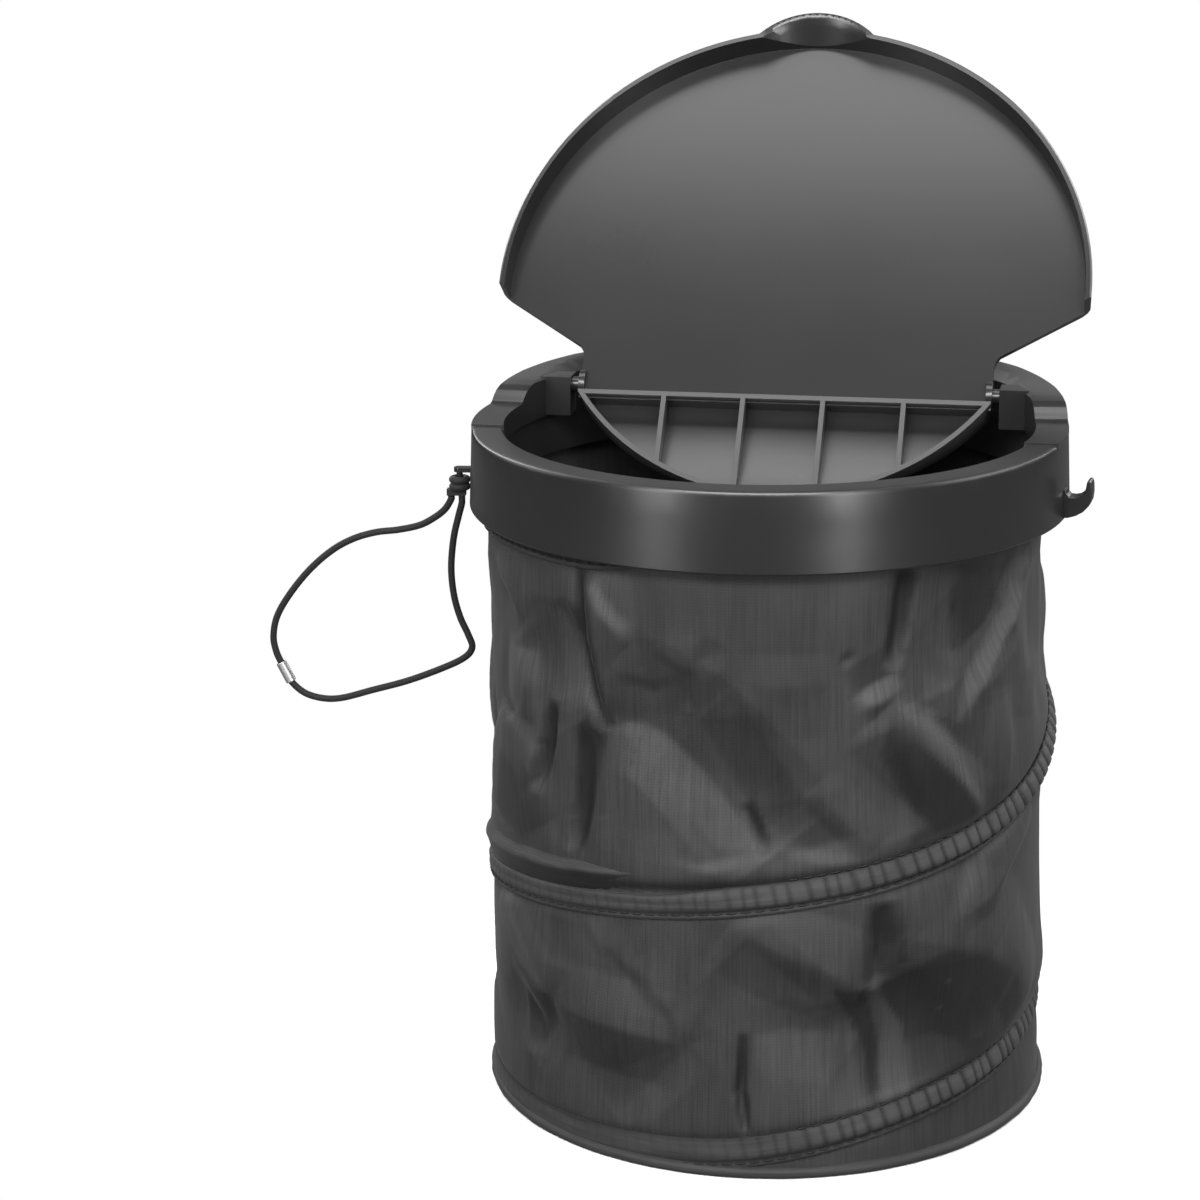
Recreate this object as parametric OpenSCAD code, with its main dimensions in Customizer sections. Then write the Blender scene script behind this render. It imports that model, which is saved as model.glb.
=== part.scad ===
// Pop-up car trash bin: a cloth bag on a spiral wire, a moulded collar, a rocker lid and an elastic loop.
// Millimetres. Z is up, -Y is the front, the origin is on the floor at the middle of the bag.

/* [Collar] */
// Height of the collar's front rim above the floor
body_h = 193.5; // [170:0.5:230]
// Outer radius of the collar at its top edge
collar_r = 83.6; // [70:0.1:95]
// Height of the collar's outer band
band_h = 22; // [16:0.5:30]
// Width of the flat rim around the mouth
rim_w = 9.1; // [6:0.1:14]
// Thickness of the collar's walls
wall_t = 1.5; // [1.2:0.1:2]
// How far the rear hump rises above the front rim
hump_h = 9; // [5:0.5:14]
// How much wider the band is at its foot than at its top
draft = 0.8; // [0:0.1:1.5]

/* [Lid] */
// Angle between the closed lid and the stored open lid
open_deg = 128.5; // [60:0.5:130]
// How far the pivots lie behind the middle
pivot_back = 30.5; // [24:0.5:36]
// How far the pivots lie above the front rim
pivot_up = 3; // [1:0.1:4]
// Air between the front rim and the closed lid's underside
lid_gap = 1.3; // [0.6:0.1:2.5]
// Thickness of the lid's plate and skirt
lid_t = 1.8; // [1.4:0.1:3]
// Depth of the lid's skirt below the plate's underside
skirt_h = 7.9; // [5:0.1:12]
// Width of the tray behind the pivots
tray_w = 120; // [90:1:124]
// Depth of the tray from its straight wall to its round wall
tray_d = 31.5; // [20:0.5:34]
// Number of ribs across the tray
rib_n = 4; // [2:1:6]
// Radius of the thumb tab
tab_r = 24; // [16:0.5:30]
// Radius of the two pivot pins
pin_r = 2.3; // [1.5:0.1:3]
// How far the lid lies to the right in its side play
lid_play = 0.1; // [0:0.1:0.6]

/* [Bag] */
// Thickness of the bag's cloth
cloth_t = 0.8; // [0.5:0.1:1.5]
// Air between the collar's top edge and the bag, measured across the radius
bag_in = 3.8; // [3.2:0.1:6]
// Radius of the spring wire
wire_r = 0.75; // [0.5:0.05:0.8]
// Strength of the cloth's folds
fold_k = 1; // [0:0.1:1.4]

/* [Loop] */
// Radius of the elastic cord
cord_r = 1; // [0.8:0.05:1.2]

/* [Hidden] */
$fn = 96;

mouth_r = collar_r - rim_w;
foot_r = collar_r + draft;
band_z = body_h - band_h;
ceil_z = body_h - wall_t;
bag_r = collar_r - bag_in;
bag_in_r = bag_r - cloth_t;
pivot_z = body_h + pivot_up;
plate_z = body_h + lid_gap;
plate_top = plate_z + lid_t;
skirt_z = plate_z - skirt_h;
skirt_r = collar_r + 1.4;
lid_r = skirt_r + lid_t;
tray_y = pivot_back + 4.1;
tray_r = (tray_w * tray_w / 4 + tray_d * tray_d) / (2 * tray_d);
tray_z = pivot_z - 4;
tray_top = pivot_z + 4.5;
rib_gap = tray_w / (rib_n + 1.17);
hole_r = pin_r + 0.08;
boss_x = tray_w / 2 + 2.4;
hem_h = 0.27 * band_h;
hook_deg = -6;
eye_deg = 186;
eye_x = collar_r + 4.3;
eye_y = eye_x * sin(eye_deg);

// Height of the spiral's top edge against the turned angle: 0 is the right side, -90 the front
ridge_table = [
  [-540, 7.4], [-510, 7.6], [-480, 8.2], [-450, 10.6], [-435, 14], [-420, 18.4], [-405, 22.4],
  [-390, 25.4], [-375, 28], [-360, 30.8], [-330, 36.8], [-270, 49], [-210, 61], [-180, 67.5],
  [-150, 73.6], [-120, 78.8], [-90, 83.6], [-60, 89.2], [-45, 92.6], [-30, 96.8], [-15, 101.8],
  [0, 109.5], [15, 116.5], [30, 123], [60, 135], [90, 145.4], [120, 154.2], [150, 162], [165, 165.8],
  [180, 169.4], [195, 173.6], [202, 174.9], [215, 175.5], [245, 176.3], [252, 178], [262, 181],
  [306, 181.4], [330, 181.4]
];
ridge_k = band_z / 171.5;
function ridge(t) = ridge_k * lookup(t, ridge_table);
turn_step = 9;
turns = [-540:turn_step:306];

// Folds in the cloth: from angle and height, to angle and height, how far out, how wide
folds = [
  [-150, 157, -127, 136, 1.3, 9], [-122, 168, -120, 92, -1.7, 8], [-116, 165, -108, 150, 1.0, 8],
  [-116, 128, -82, 93, 1.7, 8], [-106, 118, -96, 98, -1.0, 9], [-103, 149, -92, 138, -1.4, 8],
  [-91, 141, -72, 142, -1.1, 7], [-66, 149, -64, 142, 1.3, 9], [-55, 169, -57, 146, -1.5, 8],
  [-55, 136, -35, 100, 1.7, 8], [-62, 126, -46, 102, -1.7, 9], [-25, 164, -42, 124, 1.6, 8],
  [-34, 160, -50, 132, -1.2, 8], [-14, 158, -24, 118, -1.3, 8],
  [-153, 66, -113, 12, 1.6, 8], [-144, 44, -134, 20, -1.3, 9], [-117, 68, -96, 38, -1.2, 8],
  [-88, 74, -63, 53, -1.5, 8], [-75, 56, -66, 43, 1.2, 8], [-86, 36, -86, 14, -1.5, 7],
  [-60, 72, -58, 24, -1.6, 8], [-50, 70, -30, 36, 1.2, 12], [-20, 86, -10, 44, -1.2, 9],
  [10, 150, 24, 120, 1.4, 9], [30, 100, 60, 70, 1.5, 10], [48, 150, 62, 128, -1.4, 9],
  [80, 120, 110, 84, 1.5, 10], [95, 62, 120, 28, -1.4, 9], [128, 130, 150, 104, -1.5, 9],
  [140, 80, 168, 46, 1.4, 10], [170, 140, 190, 104, 1.4, 9], [176, 58, 196, 30, -1.2, 9],
  [20, 62, 50, 36, -1.3, 9], [196, 124, 204, 96, -1.4, 8]
];
mm_deg = bag_r * PI / 180;
function clip(v) = min(1, max(0, v));
function smooth(v) = let (c = clip(v)) c * c * (3 - 2 * c);
function turned(a) = ((a + 180) % 360 + 360) % 360 - 180;
function near(a, z, f) =
  let (px = turned(a - f[0]) * mm_deg, pz = z - f[1],
       dx = (f[2] - f[0]) * mm_deg, dz = f[3] - f[1],
       k = clip((px * dx + pz * dz) / (dx * dx + dz * dz)),
       ex = px - k * dx, ez = pz - k * dz)
  exp(-(ex * ex + ez * ez) / (f[5] * f[5]));
function fold_sum(a, z, n = 0) =
  n == len(folds) ? 0 : folds[n][4] * near(a, z, folds[n]) + fold_sum(a, z, n + 1);
function calm(a, z) = min([for (t = [a - 720, a - 360, a, a + 360])
  t < -545 || t > 335 ? 1 : smooth((abs(z - ridge(t) + 3.9) - 12.4) / 8)]);
function ends(z) = smooth((z - 9) / 8) * smooth((body_h - 26 - z) / 9);
function wall_r(a, z) = bag_r + fold_k * calm(a, z) * ends(z) * max(-3, min(1.2, 1.7 * fold_sum(a, z)));

// A closed skin over rings of points, with flat ends
module skin(rings) {
  n = len(rings);
  m = len(rings[0]);
  polyhedron(
    points = [for (r = rings) each r],
    faces = [
      for (i = [0:n - 2], j = [0:m - 1]) let (k = (j + 1) % m) each [
        [i * m + j, i * m + k, (i + 1) * m + k], [i * m + j, (i + 1) * m + k, (i + 1) * m + j]],
      [for (j = [m - 1:-1:0]) j],
      [for (j = [0:m - 1]) (n - 1) * m + j]
    ]);
}

// A closed skin over rings that each have an outer and an inner outline of as many points
module hollow_skin(outer, inner) {
  n = len(outer);
  m = len(outer[0]);
  s = n * m;
  polyhedron(
    points = concat([for (r = outer) each r], [for (r = inner) each r]),
    faces = [
      for (i = [0:n - 2], j = [0:m - 1]) let (k = (j + 1) % m) each [
        [i * m + j, i * m + k, (i + 1) * m + k], [i * m + j, (i + 1) * m + k, (i + 1) * m + j],
        [s + i * m + j, s + (i + 1) * m + k, s + i * m + k],
        [s + i * m + j, s + (i + 1) * m + j, s + (i + 1) * m + k]],
      for (j = [0:m - 1]) let (k = (j + 1) % m) each [
        [j, s + k, k], [j, s + j, s + k],
        [(n - 1) * m + j, (n - 1) * m + k, s + (n - 1) * m + k],
        [(n - 1) * m + j, s + (n - 1) * m + k, s + (n - 1) * m + j]]
    ]);
}

module ring(r1, r2, z1, z2) {
  rotate_extrude() translate([r1, z1]) square([r2 - r1, z2 - z1]);
}

// Side view of the hump: y against height, from the step in the rim to the rear
hump_line = [
  [-17, 0], [-17, 0.6], [11, 0.6], [12.4, 1.2], [14, 2.6], [15.8, 3.8], [18.5, 4.8], [23, 5.6],
  [31, 6.6], [40, 7.5], [50, 8.2], [62, 8.7], [90, 9]
];
module hump_side(drop, shift) {
  translate([-100, 0, 0]) rotate([90, 0, 90]) linear_extrude(200)
    polygon(concat(
      [for (p = hump_line) [p[0] + shift, body_h - drop + p[1] * hump_h / 9]],
      [[100, body_h - drop + hump_h], [100, body_h - 6], [-17 + shift, body_h - 6]]));
}
module hump_ring(r1, r2, low) {
  rotate_extrude() polygon([
    [r1, body_h - 5], [r2, body_h - 5], [r2, body_h + hump_h - 2.4 - low],
    [r2 - 0.9, body_h + hump_h - 0.8 - low], [r2 - 2.4, body_h + hump_h - 0.3 - low],
    [r1, body_h + hump_h - 3.9 - low]]);
}

// The moulded collar: band, rim, raised rear and the two pivot bosses
module collar() {
  color([0.16, 0.16, 0.17]) difference() {
    union() {
      rotate_extrude() polygon([
        [mouth_r, body_h - 6], [mouth_r, body_h - 0.8], [mouth_r + 0.7, body_h],
        [collar_r - 1.4, body_h], [collar_r - 0.5, body_h - 0.4], [collar_r, body_h - 1.4],
        [foot_r, band_z + 0.4], [foot_r - 0.3, band_z], [foot_r - wall_t, band_z],
        [collar_r - wall_t, ceil_z - 2], [mouth_r + 0.9, ceil_z - 2], [mouth_r + 0.9, body_h - 6]]);
      intersection() {
        hump_side(0, 0);
        hump_ring(mouth_r, collar_r, 0);
      }
      for (s = [-1, 1]) intersection() {
        translate([s > 0 ? boss_x : -boss_x - mouth_r, pivot_back - 4.2, pivot_z - 8.5])
          cube([mouth_r, 8.4, 11.4]);
        cylinder(r = mouth_r + 1.2, h = body_h + 40);
      }
    }
    // room under the rim
    rotate_extrude() polygon([
      [mouth_r + 0.9, body_h - 7], [mouth_r + 0.9, ceil_z], [collar_r - wall_t, ceil_z],
      [collar_r - wall_t, ceil_z - 6], [mouth_r + 3, ceil_z - 6]]);
    // room under the hump
    intersection() {
      hump_side(wall_t, 2);
      hump_ring(mouth_r + 1.6, collar_r - wall_t, wall_t);
    }
    for (s = [-1, 1]) translate([s * (boss_x + 2.6), pivot_back, pivot_z]) rotate([0, 90, 0])
      cylinder(r = hole_r, h = 5.4, center = true);
    // pockets for the hook's foot and the cord eye's foot
    for (a = [hook_deg, eye_deg]) rotate([0, 0, a])
      translate([collar_r - 0.05, -2.55, band_z + 0.35]) cube([6, 5.1, 8.3]);
  }
}

// The inner ring that clamps the bag's hem to the collar
module clamp_ring() {
  color([0.13, 0.13, 0.14]) rotate_extrude() polygon([
    [mouth_r + 1, band_z + 4], [bag_in_r - 0.6, band_z + 4], [bag_in_r - 0.4, band_z + 5],
    [bag_in_r - 0.4, ceil_z - 0.05], [mouth_r + 1, ceil_z - 0.05]]);
}

// The J-shaped hook on the right side
module side_hook() {
  color([0.17, 0.17, 0.18]) rotate([0, 0, hook_deg])
    translate([collar_r, 2.5, band_z + 0.4]) rotate([90, 0, 0]) linear_extrude(5)
      polygon([
        [0, 0], [1.6, 0.1], [3.8, 0.8], [5.8, 2], [7.3, 3.7], [8, 5.3], [8.2, 7.4], [8.1, 9.4],
        [7.9, 10.5], [7.4, 11], [6.8, 10.7], [6.6, 10], [6.4, 8.6], [5.8, 7.3], [4.6, 6.4],
        [3.2, 6.1], [2, 6.2], [1.3, 7], [1.1, 8.2], [0, 8.2]]);
}

// The small peg on the left side: an arm and a bar that the cord is hitched to
module cord_eye() {
  color([0.17, 0.17, 0.18]) rotate([0, 0, eye_deg]) {
    translate([collar_r, -1.6, band_z + 7]) cube([eye_x - collar_r, 3.2, 1.3]);
    translate([collar_r, -2.5, band_z + 0.4]) cube([1, 5, 8.2]);
    translate([eye_x, 0, band_z + 7]) cylinder(r = 1.6, h = 1.3);
    translate([eye_x, 0, band_z + 2]) cylinder(r = 0.9, h = 5.7);
  }
}

// The bag's folded top edge, held between the clamp ring and the band
module top_hem() {
  color([0.12, 0.12, 0.13]) ring(bag_in_r - 0.35, collar_r - wall_t - 0.1, ceil_z - hem_h, ceil_z - 0.05);
}

// Plan of the lid's plate: a round front, two slanted rear edges and the neck to the tray
module lid_plan() {
  intersection() {
    circle(r = lid_r + 12);
    polygon([
      [-tray_w / 2, tray_y + 1], [-tray_w / 2, pivot_back - 8.5],
      [-tray_w / 2 - 0.4, pivot_back - 10.4], [-tray_w / 2 - 1.6, pivot_back - 12.2],
      [-lid_r - 0.6, pivot_back - 28.6], [-120, pivot_back - 29], [-120, -120],
      [120, -120], [120, pivot_back - 29], [lid_r + 0.6, pivot_back - 28.6],
      [tray_w / 2 + 1.6, pivot_back - 12.2], [tray_w / 2 + 0.4, pivot_back - 10.4],
      [tray_w / 2, pivot_back - 8.5], [tray_w / 2, tray_y + 1]]);
  }
}

module tray_plan(in, h, z) {
  translate([0, tray_y, z]) linear_extrude(h) intersection() {
    translate([0, tray_d - tray_r]) circle(r = tray_r - in);
    translate([-tray_w, in == 0 ? -0.7 : 0.7]) square([2 * tray_w, tray_d + 5]);
    translate([-tray_w / 2 + in, -2]) square([tray_w - 2 * in, tray_d + 5]);
  }
}

module tray_dome(r) {
  translate([0, tray_y, tray_top - 80]) rotate([0, 90, 0]) cylinder(r = r, h = 2 * tray_w, center = true, $fn = 180);
}

// The rocker lid as it lies when closed
module lid_closed() {
  difference() {
    intersection() {
      union() {
        rotate_extrude() polygon([
          [0, plate_z], [skirt_r - 0.3, plate_z], [skirt_r - 0.3, skirt_z], [lid_r, skirt_z],
          [lid_r - 0.4, plate_top - 2.2], [lid_r - 1.1, plate_top - 0.8], [lid_r - 2.6, plate_top],
          [0, plate_top]]);
        translate([0, -lid_r + tab_r - 6, skirt_z])
          cylinder(r1 = tab_r, r2 = tab_r - 5.6, h = skirt_h + lid_t - 1);
      }
      translate([0, 0, skirt_z - 1]) linear_extrude(30) lid_plan();
    }
    // room inside the skirt
    rotate_extrude() polygon([
      [0, plate_z], [skirt_r - 0.3, plate_z], [skirt_r, skirt_z], [skirt_r, skirt_z - 2], [0, skirt_z - 2]]);
    intersection() {
      translate([0, -lid_r + tab_r - 6, skirt_z - 0.01])
        cylinder(r1 = tab_r - lid_t - 0.2, r2 = tab_r - 8.4, h = skirt_h - 0.8);
      translate([-100, -200, skirt_z - 1]) cube([200, 200, 20]);
    }
  }
  // the tray behind the pivots
  difference() {
    intersection() {
      tray_plan(0, 12, tray_z);
      tray_dome(80);
    }
    difference() {
      intersection() {
        tray_plan(1.4, 14, tray_z - 1);
        tray_dome(78.6);
      }
      for (i = [0:rib_n - 1])
        translate([(i - (rib_n - 1) / 2) * rib_gap - 0.3, tray_y - 2, tray_z - 2])
          cube([1.4, tray_d + 6, 16]);
    }
  }
  // ears and pivot pins
  for (s = [-1, 1]) {
    translate([s * (tray_w / 2 - 0.7), pivot_back, pivot_z]) rotate([0, 90, 0])
      cylinder(r = 4.2, h = 1.8, center = true);
    translate([s * (tray_w / 2 + 3.2), pivot_back, pivot_z]) rotate([0, 90, 0])
      cylinder(r = pin_r, h = 7.4, center = true);
  }
}

module lid() {
  color([0.2, 0.2, 0.21]) translate([lid_play, pivot_back, pivot_z]) rotate([-open_deg, 0, 0])
    translate([0, -pivot_back, -pivot_z]) lid_closed();
}

// The cloth tube, with its folds
col_step = 5;
row_n = 22;
wall_low = 3.5;
wall_high = ceil_z - hem_h - 0.3;
module bag_wall() {
  rows = [for (i = [0:row_n]) wall_low + (wall_high - wall_low) * i / row_n];
  color([0.15, 0.15, 0.155]) hollow_skin(
    [for (z = rows) [for (a = [0:col_step:359]) let (r = wall_r(a, z)) [r * cos(a), r * sin(a), z]]],
    [for (z = rows) [for (a = [0:col_step:359]) let (r = wall_r(a, z) - cloth_t) [r * cos(a), r * sin(a), z]]]);
}

module bag_floor() {
  color([0.14, 0.14, 0.145]) cylinder(r = bag_in_r - 0.65, h = cloth_t);
}

// The sewn channel that the spiral wire runs in
grow = collar_r / 83.6;
chan = grow * [
  [0.4, -0.2], [1.1, 0.25], [1.9, -0.2], [2.45, -1.2], [2.3, -2.6], [1.5, -4.8], [0.95, -7.8], [0.4, -7.9]
];
core = grow * [1.35, -1.4];
chan_low = 3.5;
module spiral_channel() {
  color([0.17, 0.17, 0.175]) hollow_skin(
    [for (t = turns) [for (p = chan) let (r = bag_r + p[0])
      [r * cos(t), r * sin(t), max(chan_low, ridge(t) + p[1])]]],
    [for (t = turns) [for (j = [0:7]) let (r = bag_r + core[0] + (wire_r + 0.08) * cos(225 - j * 45),
      z = ridge(t) + core[1] + (wire_r + 0.08) * sin(225 - j * 45)) [r * cos(t), r * sin(t), z]]]);
}

module spiral_wire() {
  color([0.5, 0.5, 0.52]) skin(
    [for (t = turns) [for (j = [0:5]) let (r = bag_r + core[0] + wire_r * cos(225 - j * 60),
      z = ridge(t) + core[1] + wire_r * sin(225 - j * 60)) [r * cos(t), r * sin(t), z]]]);
}

// The steel hoop around the floor and the cloth sewn around it
module base_hoop() {
  color([0.5, 0.5, 0.52]) rotate_extrude() translate([bag_r - 0.2, 1.6]) circle(r = wire_r, $fn = 24);
}
module base_hoop_cover() {
  color([0.16, 0.16, 0.165]) rotate_extrude() difference() {
    polygon([
      [bag_in_r - 0.6, 0.3], [bag_in_r - 0.2, 0], [bag_r + 0.9, 0], [bag_r + 1.3, 0.8],
      [bag_r + 1.2, 2.2], [bag_r + 0.7, 3.2], [bag_in_r - 0.6, 3.2]]);
    translate([bag_r - 0.2, 1.6]) circle(r = wire_r + 0.04, $fn = 24);
  }
}

// The elastic loop, from the knot and back to it: x and z in the plane of the eye
loop_pts = [
  [-90, 171.6], [-90, 171], [-90.1, 170.2], [-92, 167.2], [-95.2, 164.6], [-99.6, 162.2], [-106, 160.6], [-112.6, 159.6], [-119.4, 157.4],
  [-126, 153.6], [-133, 147.4], [-139.2, 139.8], [-143.2, 133], [-144.5, 127], [-143.9, 122.6],
  [-142.6, 119.4], [-141, 116.3], [-139.4, 113.2], [-135.4, 110], [-129.8, 108.7], [-124, 109.2],
  [-115, 112], [-104.2, 115.4], [-93.6, 119.8], [-87.2, 123.2], [-84.8, 126.4], [-85.9, 130.2],
  [-88.2, 135.4], [-89.9, 142], [-90.5, 150], [-89.6, 158.8], [-88, 165.4], [-87, 169], [-86.9, 170.4], [-86.9, 171], [-86.9, 171.6]
];
function curve(p, i, k) =
  let (n = len(p), a = p[max(0, i - 1)], b = p[i], c = p[min(n - 1, i + 1)], d = p[min(n - 1, i + 2)])
  0.5 * (2 * b + (c - a) * k + (2 * a - 5 * b + 4 * c - d) * k * k + (3 * b - a - 3 * c + d) * k * k * k);
loop_drop = band_z - 171.5;
loop_out = collar_r - 83.6;
loop_line = [for (i = [0:len(loop_pts) - 2], k = [0, 0.5]) curve(loop_pts, i, k), loop_pts[len(loop_pts) - 1]];
function unit(v) = v / norm(v);
module elastic_loop() {
  n = len(loop_line);
  color([0.08, 0.08, 0.085]) skin(
    [for (i = [0:n - 1])
      let (d = unit(loop_line[min(n - 1, i + 1)] - loop_line[max(0, i - 1)]), p = loop_line[i])
      [for (j = [0:7]) let (u = cord_r * cos(j * 45), w = cord_r * sin(j * 45))
        [p[0] - loop_out - d[1] * u, eye_y + w, p[1] + loop_drop + d[0] * u]]]);
}

// The metal sleeve that joins the cord's two ends
module loop_crimp() {
  a = loop_pts[15];
  b = loop_pts[17];
  color([0.62, 0.62, 0.63])
    translate([(a[0] + b[0]) / 2 - loop_out, eye_y, (a[1] + b[1]) / 2 + loop_drop])
      rotate([0, atan2(b[0] - a[0], b[1] - a[1]), 0]) difference() {
        cylinder(r = cord_r + 0.55, h = 6.4, center = true);
        cylinder(r = cord_r + 0.2, h = 8, center = true);
      }
}

// The cord's two turns around the eye's bar
module loop_knot() {
  color([0.08, 0.08, 0.085]) rotate([0, 0, eye_deg]) {
    for (z = [2.7, 4.7]) translate([eye_x, 0, band_z + z]) rotate_extrude()
      translate([1.05 + cord_r, 0]) circle(r = cord_r + 0.05, $fn = 24);
    // where both legs of the loop come out
    translate([eye_x - 1.7, -1.2, band_z + 0.1]) cube([5.4, 2.4, 1.85]);
  }
}

collar();
clamp_ring();
side_hook();
cord_eye();
top_hem();
lid();
bag_wall();
bag_floor();
spiral_channel();
spiral_wire();
base_hoop();
base_hoop_cover();
elastic_loop();
loop_crimp();
loop_knot();
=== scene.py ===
# %% [markdown]
# # A pop-up car bin
# The bin is a cloth bag on a long spring wire. A moulded collar holds the bag's mouth, a rocker lid turns on
# two pins in the collar, a small hook stands out on the right and an elastic loop hangs on the left.
# The hard parts and all the places come from the imported CAD model. Here the cloth, the sewn casing, the cord
# and every finish are made around it. Blender works in metres; the lengths below are millimetres times MM.

# %% Load the imported model and keep each part where it stands
import math

import bpy
import numpy as np
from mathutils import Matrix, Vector, noise


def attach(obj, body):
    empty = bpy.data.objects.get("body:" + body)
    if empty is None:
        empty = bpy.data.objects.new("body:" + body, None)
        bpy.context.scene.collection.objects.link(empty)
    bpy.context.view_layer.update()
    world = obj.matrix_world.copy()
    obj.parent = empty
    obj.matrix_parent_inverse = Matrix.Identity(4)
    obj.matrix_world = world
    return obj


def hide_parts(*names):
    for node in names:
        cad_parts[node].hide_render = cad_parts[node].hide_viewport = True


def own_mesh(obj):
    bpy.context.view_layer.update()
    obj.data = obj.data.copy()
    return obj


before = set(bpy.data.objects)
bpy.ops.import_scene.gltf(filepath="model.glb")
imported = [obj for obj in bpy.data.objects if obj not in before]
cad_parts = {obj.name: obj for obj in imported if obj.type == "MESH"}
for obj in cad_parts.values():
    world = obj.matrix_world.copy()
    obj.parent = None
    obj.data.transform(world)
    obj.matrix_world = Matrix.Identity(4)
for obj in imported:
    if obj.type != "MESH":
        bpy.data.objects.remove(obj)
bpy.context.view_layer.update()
MM = 0.001

# %% [markdown]
# ## The camera
# A long lens stands almost 1 m away, a little to the right of the front and above the rim. It keeps the
# bag's sides upright, as a product photographer wants them. Its place and lens were fitted to the ellipses of
# the rim and the foot, which were read off the photo.

# %% Place the camera
bpy.ops.object.camera_add(
    location=(0.12739, -0.87321, 0.38555),
    rotation=[math.radians(v) for v in (74.57, 0.539, 11.262)],
)
camera = bpy.context.object
camera.name = "front_camera"
camera.data.sensor_width = 36
camera.data.lens = 96.12
scene = bpy.context.scene
scene.camera = camera
scene.view_settings.view_transform = "Standard"
print("camera's distance from the origin in m:", round(camera.location.length, 2))

# %% [markdown]
# ## Small helpers
# Colours are written as the hex values that a paint program shows, and turned to linear light once. One
# function adds a shader node with its settings and its links. Everything is deselected before a new piece is
# made, because an operator acts on all that is selected.


# %% Helpers for colours, nodes and pieces
def linear(code):
    parts = [int(code[i : i + 2], 16) / 255 for i in (1, 3, 5)]
    return (*[v / 12.92 if v <= 0.04045 else ((v + 0.055) / 1.055) ** 2.4 for v in parts], 1)


def node(tree, kind, inputs=None, links=None, **settings):
    made = tree.nodes.new(kind)
    for name, value in settings.items():
        setattr(made, name, value)
    for name, value in (inputs or {}).items():
        made.inputs[name].default_value = value
    for name, source in (links or {}).items():
        tree.links.new(source, made.inputs[name])
    return made


def new_material(name, **sockets):
    made = bpy.data.materials.new(name)
    made.use_nodes = True
    shader = made.node_tree.nodes["Principled BSDF"]
    for socket, value in sockets.items():
        shader.inputs[socket.replace("_", " ")].default_value = value
    return made, made.node_tree, shader


def deselect():
    if bpy.context.mode != "OBJECT":
        bpy.ops.object.mode_set(mode="OBJECT")
    bpy.ops.object.select_all(action="DESELECT")


def choose(piece):
    deselect()
    piece.select_set(True)
    bpy.context.view_layer.objects.active = piece


def merge_doubles():
    """Merge the chosen piece's doubled points and turn its faces outwards."""
    bpy.ops.object.mode_set(mode="EDIT")
    bpy.ops.mesh.select_all(action="SELECT")
    bpy.ops.mesh.remove_doubles(threshold=0.01 * MM)
    bpy.ops.mesh.normals_make_consistent(inside=False)
    bpy.ops.object.mode_set(mode="OBJECT")


def finish_piece(piece, name, body, material, replaced=()):
    piece.name = name
    piece.data.name = name
    piece.data.materials.clear()
    piece.data.materials.append(material)
    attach(piece, body)
    if replaced:
        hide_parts(*replaced)
    faces = sum(len(p.vertices) - 2 for p in piece.data.polygons)
    print(name, "has", faces, "triangles")


def apply_modifier(piece, kind, **settings):
    choose(piece)
    modifier = piece.modifiers.new(kind.title(), kind)
    for key, value in settings.items():
        setattr(modifier, key, value)
    bpy.ops.object.modifier_apply(modifier=modifier.name)


def skin_rings(name, rings, along, close_ends=True):
    """A mesh over rings of points, with a UV map in metres: u round the ring, v along the piece."""
    n, m = rings.shape[:2]
    points = rings.reshape(-1, 3)
    i, j = np.meshgrid(np.arange(n - 1), np.arange(m), indexing="ij")
    k = (j + 1) % m
    quads = np.stack([i * m + j, i * m + k, (i + 1) * m + k, (i + 1) * m + j], -1).reshape(-1, 4)
    faces = quads.tolist()
    if close_ends:
        faces.append(list(range(m - 1, -1, -1)))
        faces.append([(n - 1) * m + j for j in range(m)])
    mesh = bpy.data.meshes.new(name)
    mesh.from_pydata(points.tolist(), [], faces)
    girth = np.linalg.norm(rings[n // 2] - np.roll(rings[n // 2], -1, axis=0), axis=1)
    around = np.concatenate([[0], np.cumsum(girth)])
    uv = np.zeros((len(mesh.loops), 2))
    corners = np.stack(
        [np.stack([around[j + dj], along[i + di]], -1) for di, dj in ((0, 0), (0, 1), (1, 1), (1, 0))], 2
    ).reshape(-1, 2)
    uv[: len(corners)] = corners
    layer = mesh.uv_layers.new(name="UVMap")
    layer.data.foreach_set("uv", uv.ravel())
    mesh.polygons.foreach_set("use_smooth", [len(f) == 4 for f in faces])
    mesh.update()
    piece = bpy.data.objects.new(name, mesh)
    scene.collection.objects.link(piece)
    return piece


def set_amount(piece, name, values):
    """One number at each point: painted light (above 0) or shade (below 0), or a painted edge highlight."""
    layer = piece.data.attributes.new(name, "FLOAT", "POINT")
    layer.data.foreach_set("value", np.clip(values, -1, 1).ravel().astype(np.float32))


def wobble(*place):
    return noise.noise(Vector(place))


def ring_points(r, degrees, z):
    """Points so far from the bag's axis, turned so many degrees from the right side, at a height."""
    t = np.radians(degrees)
    return np.stack([r * np.cos(t), r * np.sin(t), z], 1)


# %% [markdown]
# ## The elastic loop's line
# The loop is 2 mm cord, limp, and hangs from the knot on the collar's left. It is settled first, because its
# route is part of the CAD model: the same points are used, and a smooth curve runs through them.

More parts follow.
